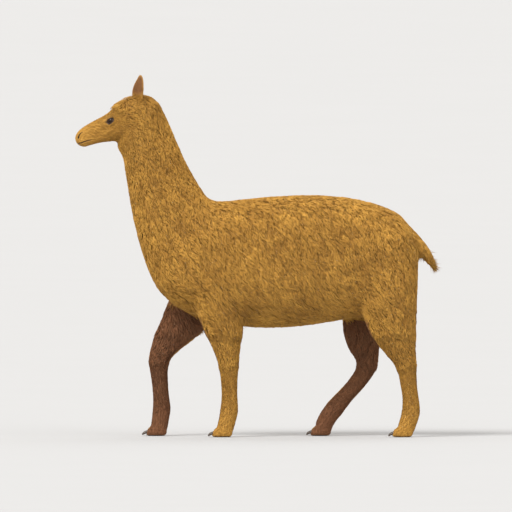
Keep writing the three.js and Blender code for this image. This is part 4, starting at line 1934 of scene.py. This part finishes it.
    def assemble(
        self, name: str, roots: Roots, lock: Lock, points: np.ndarray, unwrap: np.ndarray
    ) -> bpy.types.Mesh:
        """Writes the vertices, faces, maps, markings and painted shade of many tufts into a mesh.

        Args:
            name: The mesh's name.
            roots: The tufts.
            lock: Their shape.
            points: Each tuft's vertices.
            unwrap: The place of each root on an unwrap of the skin.

        Returns:
            The mesh.
        """
        faces = lock.faces()
        count = len(points)
        sizes = np.tile([len(face) for face in faces], count)
        loops = np.concatenate([np.array(face) for face in faces])
        offsets = np.arange(count)[:, None] * lock.verts
        corners = (offsets + loops[None, :]).ravel()
        mesh = bpy.data.meshes.new(name)
        mesh.vertices.add(count * lock.verts)
        mesh.vertices.foreach_set("co", np.maximum(points, [-9, -9, 0.2 * MM]).astype(np.float32).ravel())
        mesh.loops.add(len(corners))
        mesh.loops.foreach_set("vertex_index", corners.astype(np.int32))
        mesh.polygons.add(len(sizes))
        starts = np.concatenate([[0], np.cumsum(sizes)[:-1]])
        mesh.polygons.foreach_set("loop_start", starts.astype(np.int32))
        mesh.polygons.foreach_set("use_smooth", np.ones(len(sizes), bool))
        mesh.update(calc_edges=True)
        along = np.array([ring[0] for ring in lock.rings for _ in range(3)] + [1.0])
        along = lock.shade_from + (1.0 - lock.shade_from) * along
        around = np.array([corner / 3 for _ in lock.rings for corner in range(3)] + [0.5])
        strand = np.tile(np.stack([around[loops], along[loops]], axis=1), (count, 1))
        bake = np.repeat(unwrap, len(loops), axis=0) + (strand - 0.5) * BAKE_PATCH
        for label, places in (("Strand", strand), ("OFBake", bake)):
            layer = mesh.uv_layers.new(name=label)
            layer.data.foreach_set("uv", places.astype(np.float32).ravel())
        set_values(mesh, "along", np.tile(along, count))
        set_values(mesh, "tone", np.repeat(roots.tone, lock.verts))
        set_values(mesh, "dark", np.repeat(roots.dark, lock.verts))
        return mesh

    def build(self) -> list[bpy.types.Object]:
        """Makes every piece of the coat.

        Returns:
            The pieces.
        """
        view = bpy.context.evaluated_depsgraph_get()
        self.tree = BVHTree.FromObject(self.skin.piece, view)
        roots = self.sample()
        tiles = Tiles(self.skin)
        pieces = []
        number = tiles.of(roots.points)
        for tile, name in enumerate(tiles.names):
            mine = roots.pick(number == tile)
            if not len(mine.points):
                continue
            unwrap = tiles.unwrap(tile, mine.points)
            chance = np.random.default_rng(self.seed + tile).random(len(mine.points))
            long = (mine.hair[:, 1] > LONG_FROM) & (chance < self.long_share)
            blade = mine.hair[:, 1] < BLADE_BELOW * (self.blade_spread[0] + self.blade_spread[1] * chance)
            kinds = ((long, LONG_LOCK), (~long & ~blade, SHORT_LOCK), (blade, BLADE))
            meshes = [self.mesh(name, mine.pick(chosen), lock, unwrap[chosen]) for chosen, lock in kinds
                      if chosen.any()]
            pieces.append(self.finish(name, meshes))
        return pieces

    def finish(self, name: str, meshes: Sequence[bpy.types.Mesh]) -> bpy.types.Object:
        """Joins meshes of tufts into one piece, and dresses it.

        Args:
            name: The piece's name.
            meshes: The meshes.

        Returns:
            The piece.
        """
        shape = bmesh.new()
        for mesh in meshes:
            shape.from_mesh(mesh)
        piece = object_of(name, shape)
        piece.data.materials.append(FleeceFinish().material())
        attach(piece, BODY)
        log.info("%s: %d triangles", name, len(mesh_triangles(piece.data)))
        return piece


@dataclass
class Tiles:
    """The coat's pieces: which part of the body each one covers, and its unwrap."""

    skin: Skin
    names: tuple[str, ...] = (
        "fleece_fore_left", "fleece_mid_left", "fleece_rear_left",
        "fleece_fore_right", "fleece_mid_right", "fleece_rear_right",
        "fleece_neck_left", "fleece_neck_right", "fur_head", "fleece_tail",
        "fur_forelegs", "fur_hindlegs",
    )
    fore_cut: float = 0.36  # of the trunk's length from its front
    rear_cut: float = 0.64
    cut_rise: float = 0.46  # of the neck's height that its lower cut climbs to the withers

    def of(self, points: np.ndarray) -> np.ndarray:
        """The number of the piece that covers each point.

        Args:
            points: The points, one a row.

        Returns:
            The numbers, counted as the names are.
        """
        x, y, z = points.T
        low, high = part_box("trunk")
        first = low.y + (high.y - low.y) * self.fore_cut
        second = low.y + (high.y - low.y) * self.rear_cut
        along = (y > first).astype(int) + (y > second).astype(int)
        number = along + 3 * (x < 0)
        tile = self.names.index
        neck = self.on_neck(points)
        necks = np.where(x > 0, tile("fleece_neck_left"), tile("fleece_neck_right"))
        number = np.where(neck, necks, number)
        head_along, _, _ = HEAD.local(points)
        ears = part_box("ear_left")[0].z
        head = neck & ((head_along > -6) & (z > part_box("jaw")[0].z - 30 * MM) | (z > ears + 25 * MM))
        number = np.where(head, tile("fur_head"), number)
        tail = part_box("tail")[0]
        number = np.where((y > tail.y + 50 * MM) & (z > tail.z), tile("fleece_tail"), number)
        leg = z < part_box("foreleg_left_upper")[1].z + 10 * MM
        legs = np.where(y < first + 60 * MM, tile("fur_forelegs"), tile("fur_hindlegs"))
        return np.where(leg, legs, number)

    def on_neck(self, points: np.ndarray) -> np.ndarray:
        """Whether points are above the slanting cut between trunk and neck.

        Args:
            points: The points.

        Returns:
            True for each point above it.
        """
        low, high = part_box("neck")
        slope = self.cut_rise * (high.z - low.z) / (high.y - low.y)
        return points[:, 2] > low.z + slope * (points[:, 1] - low.y)

    def unwrap(self, tile: int, roots: np.ndarray) -> np.ndarray:
        """The place of each root on an unwrap of the skin below this piece.

        Args:
            tile: The piece's number.
            roots: The roots.

        Returns:
            The places on the unwrap.
        """
        mesh = self.skin.piece.data
        points = mesh_points(mesh)
        triangles = mesh_triangles(mesh)
        mine = self.of(points[triangles].mean(axis=1)) == tile
        chosen = triangles[mine]
        used, renumbered = np.unique(chosen, return_inverse=True)
        patch = bpy.data.meshes.new("patch")
        patch.from_pydata(points[used].tolist(), [], renumbered.reshape(-1, 3).tolist())
        piece = new_object("patch", patch)
        for other in bpy.context.selected_objects:
            other.select_set(False)
        bpy.context.view_layer.objects.active = piece
        piece.select_set(True)
        patch.uv_layers.new(name="plan")
        bpy.ops.object.mode_set(mode="EDIT")
        bpy.ops.mesh.select_all(action="SELECT")
        bpy.ops.uv.smart_project(angle_limit=math.radians(66), island_margin=0.004)
        bpy.ops.object.mode_set(mode="OBJECT")
        plan = np.empty(len(patch.loops) * 2, np.float32)
        patch.uv_layers["plan"].data.foreach_get("uv", plan)
        plan = plan.reshape(-1, 3, 2)
        corners = mesh_points(patch)[renumbered.reshape(-1, 3)]
        tree = point_tree(corners.mean(axis=1))
        face = np.array([tree.find(root)[1] for root in roots])
        gap = np.linalg.norm(corners[face] - roots[:, None, :], axis=2)
        weight = 1.0 / (gap + 1e-5)
        weight /= weight.sum(axis=1, keepdims=True)
        bpy.data.objects.remove(piece)
        bpy.data.meshes.remove(patch)
        return (plan[face] * weight[:, :, None]).sum(axis=1)


# ------------------------------------------------------------------ the studio


@dataclass(frozen=True)
class Lamp:
    """One soft light from far away that shines from a place towards the animal."""

    name: str
    place: tuple[float, float, float]  # the way it comes from
    spread: float  # how wide it looks, as an angle
    power: float

    def hang(self) -> None:
        """Adds it to the scene."""
        light = bpy.data.lights.new(self.name, "SUN")
        light.angle = self.spread
        light.energy = self.power
        piece = new_object(self.name, light)
        piece.location = self.place
        piece.rotation_euler = Vector(self.place).to_track_quat("Z", "Y").to_euler()


@dataclass(frozen=True)
class Studio:
    """A plain pale floor, soft light and a camera square to the animal's left side."""

    view_width: float = 2.4832
    aim: tuple[float, float, float] = (0.0, -0.0016, 0.8754)
    elevation: float = math.radians(1.5)
    distance: float = 30.0
    floor_radius: float = 600.0
    floor_tones: tuple[Colour, Colour] = ((0.472, 0.468, 0.463, 1.0), (0.482, 0.478, 0.473, 1.0))
    sky: Colour = (1.0, 0.985, 0.965, 1.0)
    sky_strength: float = 0.85
    lamps: tuple[Lamp, ...] = (
        Lamp("key", (4.0, -3.4, 5.2), math.radians(30), 3.0),
        Lamp("fill", (4.0, 4.2, 2.8), math.radians(60), 0.75),
        Lamp("back", (-4.4, 1.5, 4.6), math.radians(50), 0.7),
    )

    def floor(self) -> None:
        """Lays the floor."""
        shape = bmesh.new()
        bmesh.ops.create_circle(shape, cap_ends=True, segments=96, radius=self.floor_radius)
        piece = object_of("floor", shape)
        material, nodes, shader = new_material("floor")
        cloud = nodes.noise(nodes.place(), 1.5, 3.0)
        nodes.fill(shader, {
            "Base Color": nodes.mix(cloud, *self.floor_tones), "Roughness": 0.95, "Specular IOR Level": 0.0})
        piece.data.materials.append(material)

    def camera(self) -> None:
        """Sets up the camera."""
        lens = bpy.data.cameras.new("camera")
        lens.type = "ORTHO"
        lens.ortho_scale = self.view_width
        lens.clip_end = 2000.0
        piece = new_object("camera", lens)
        away = Vector((math.cos(self.elevation), 0.0, math.sin(self.elevation)))
        piece.location = Vector(self.aim) + away * self.distance
        piece.rotation_euler = (-away).to_track_quat("-Z", "Y").to_euler()
        bpy.context.scene.camera = piece

    def build(self) -> None:
        """Makes the floor, the lights, the world and the camera."""
        self.floor()
        for lamp in self.lamps:
            lamp.hang()
        world = bpy.data.worlds.new("studio")
        world.use_nodes = True
        sky = world.node_tree.nodes["Background"]
        sky.inputs["Color"].default_value = self.sky
        sky.inputs["Strength"].default_value = self.sky_strength
        bpy.context.scene.world = world
        bpy.context.scene.view_settings.view_transform = "Standard"
        self.camera()


# ------------------------------------------------------------------------ main


def join(target: bpy.types.Object, others: Sequence[bpy.types.Object]) -> None:
    """Joins other objects' meshes into one object, which keeps its name and its marks.

    Args:
        target: The object.
        others: The other ones, which are removed.
    """
    shape = bmesh.new()
    shape.from_mesh(target.data)
    for other in others:
        shape.from_mesh(other.data)
    shape.to_mesh(target.data)
    shape.free()
    target.data.shade_smooth()
    for other in others:
        bpy.data.objects.remove(other)


def main() -> None:
    """Builds the animal and the studio round it."""
    logging.basicConfig(level=logging.INFO, format="%(relativeCreated)7d %(message)s")
    Studio().build()
    skin = Skin()
    skin.build()
    coat = Coat(skin).build()
    log.info("coat: %d pieces", len(coat))
    lids = []
    for name in SIDES:
        eye = Eye(name)
        eye.build()
        eye.lashes()
        lids.append(eye.lids())
        log.info("eye %s", name)
    join(skin.piece, lids)
    log.info("skin: %d triangles", len(mesh_triangles(skin.piece.data)))
    for node in sorted(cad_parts):
        if "_nail_" in node:
            Nail(node).build()
    log.info("nails")


if __name__ == "__main__":
    main()
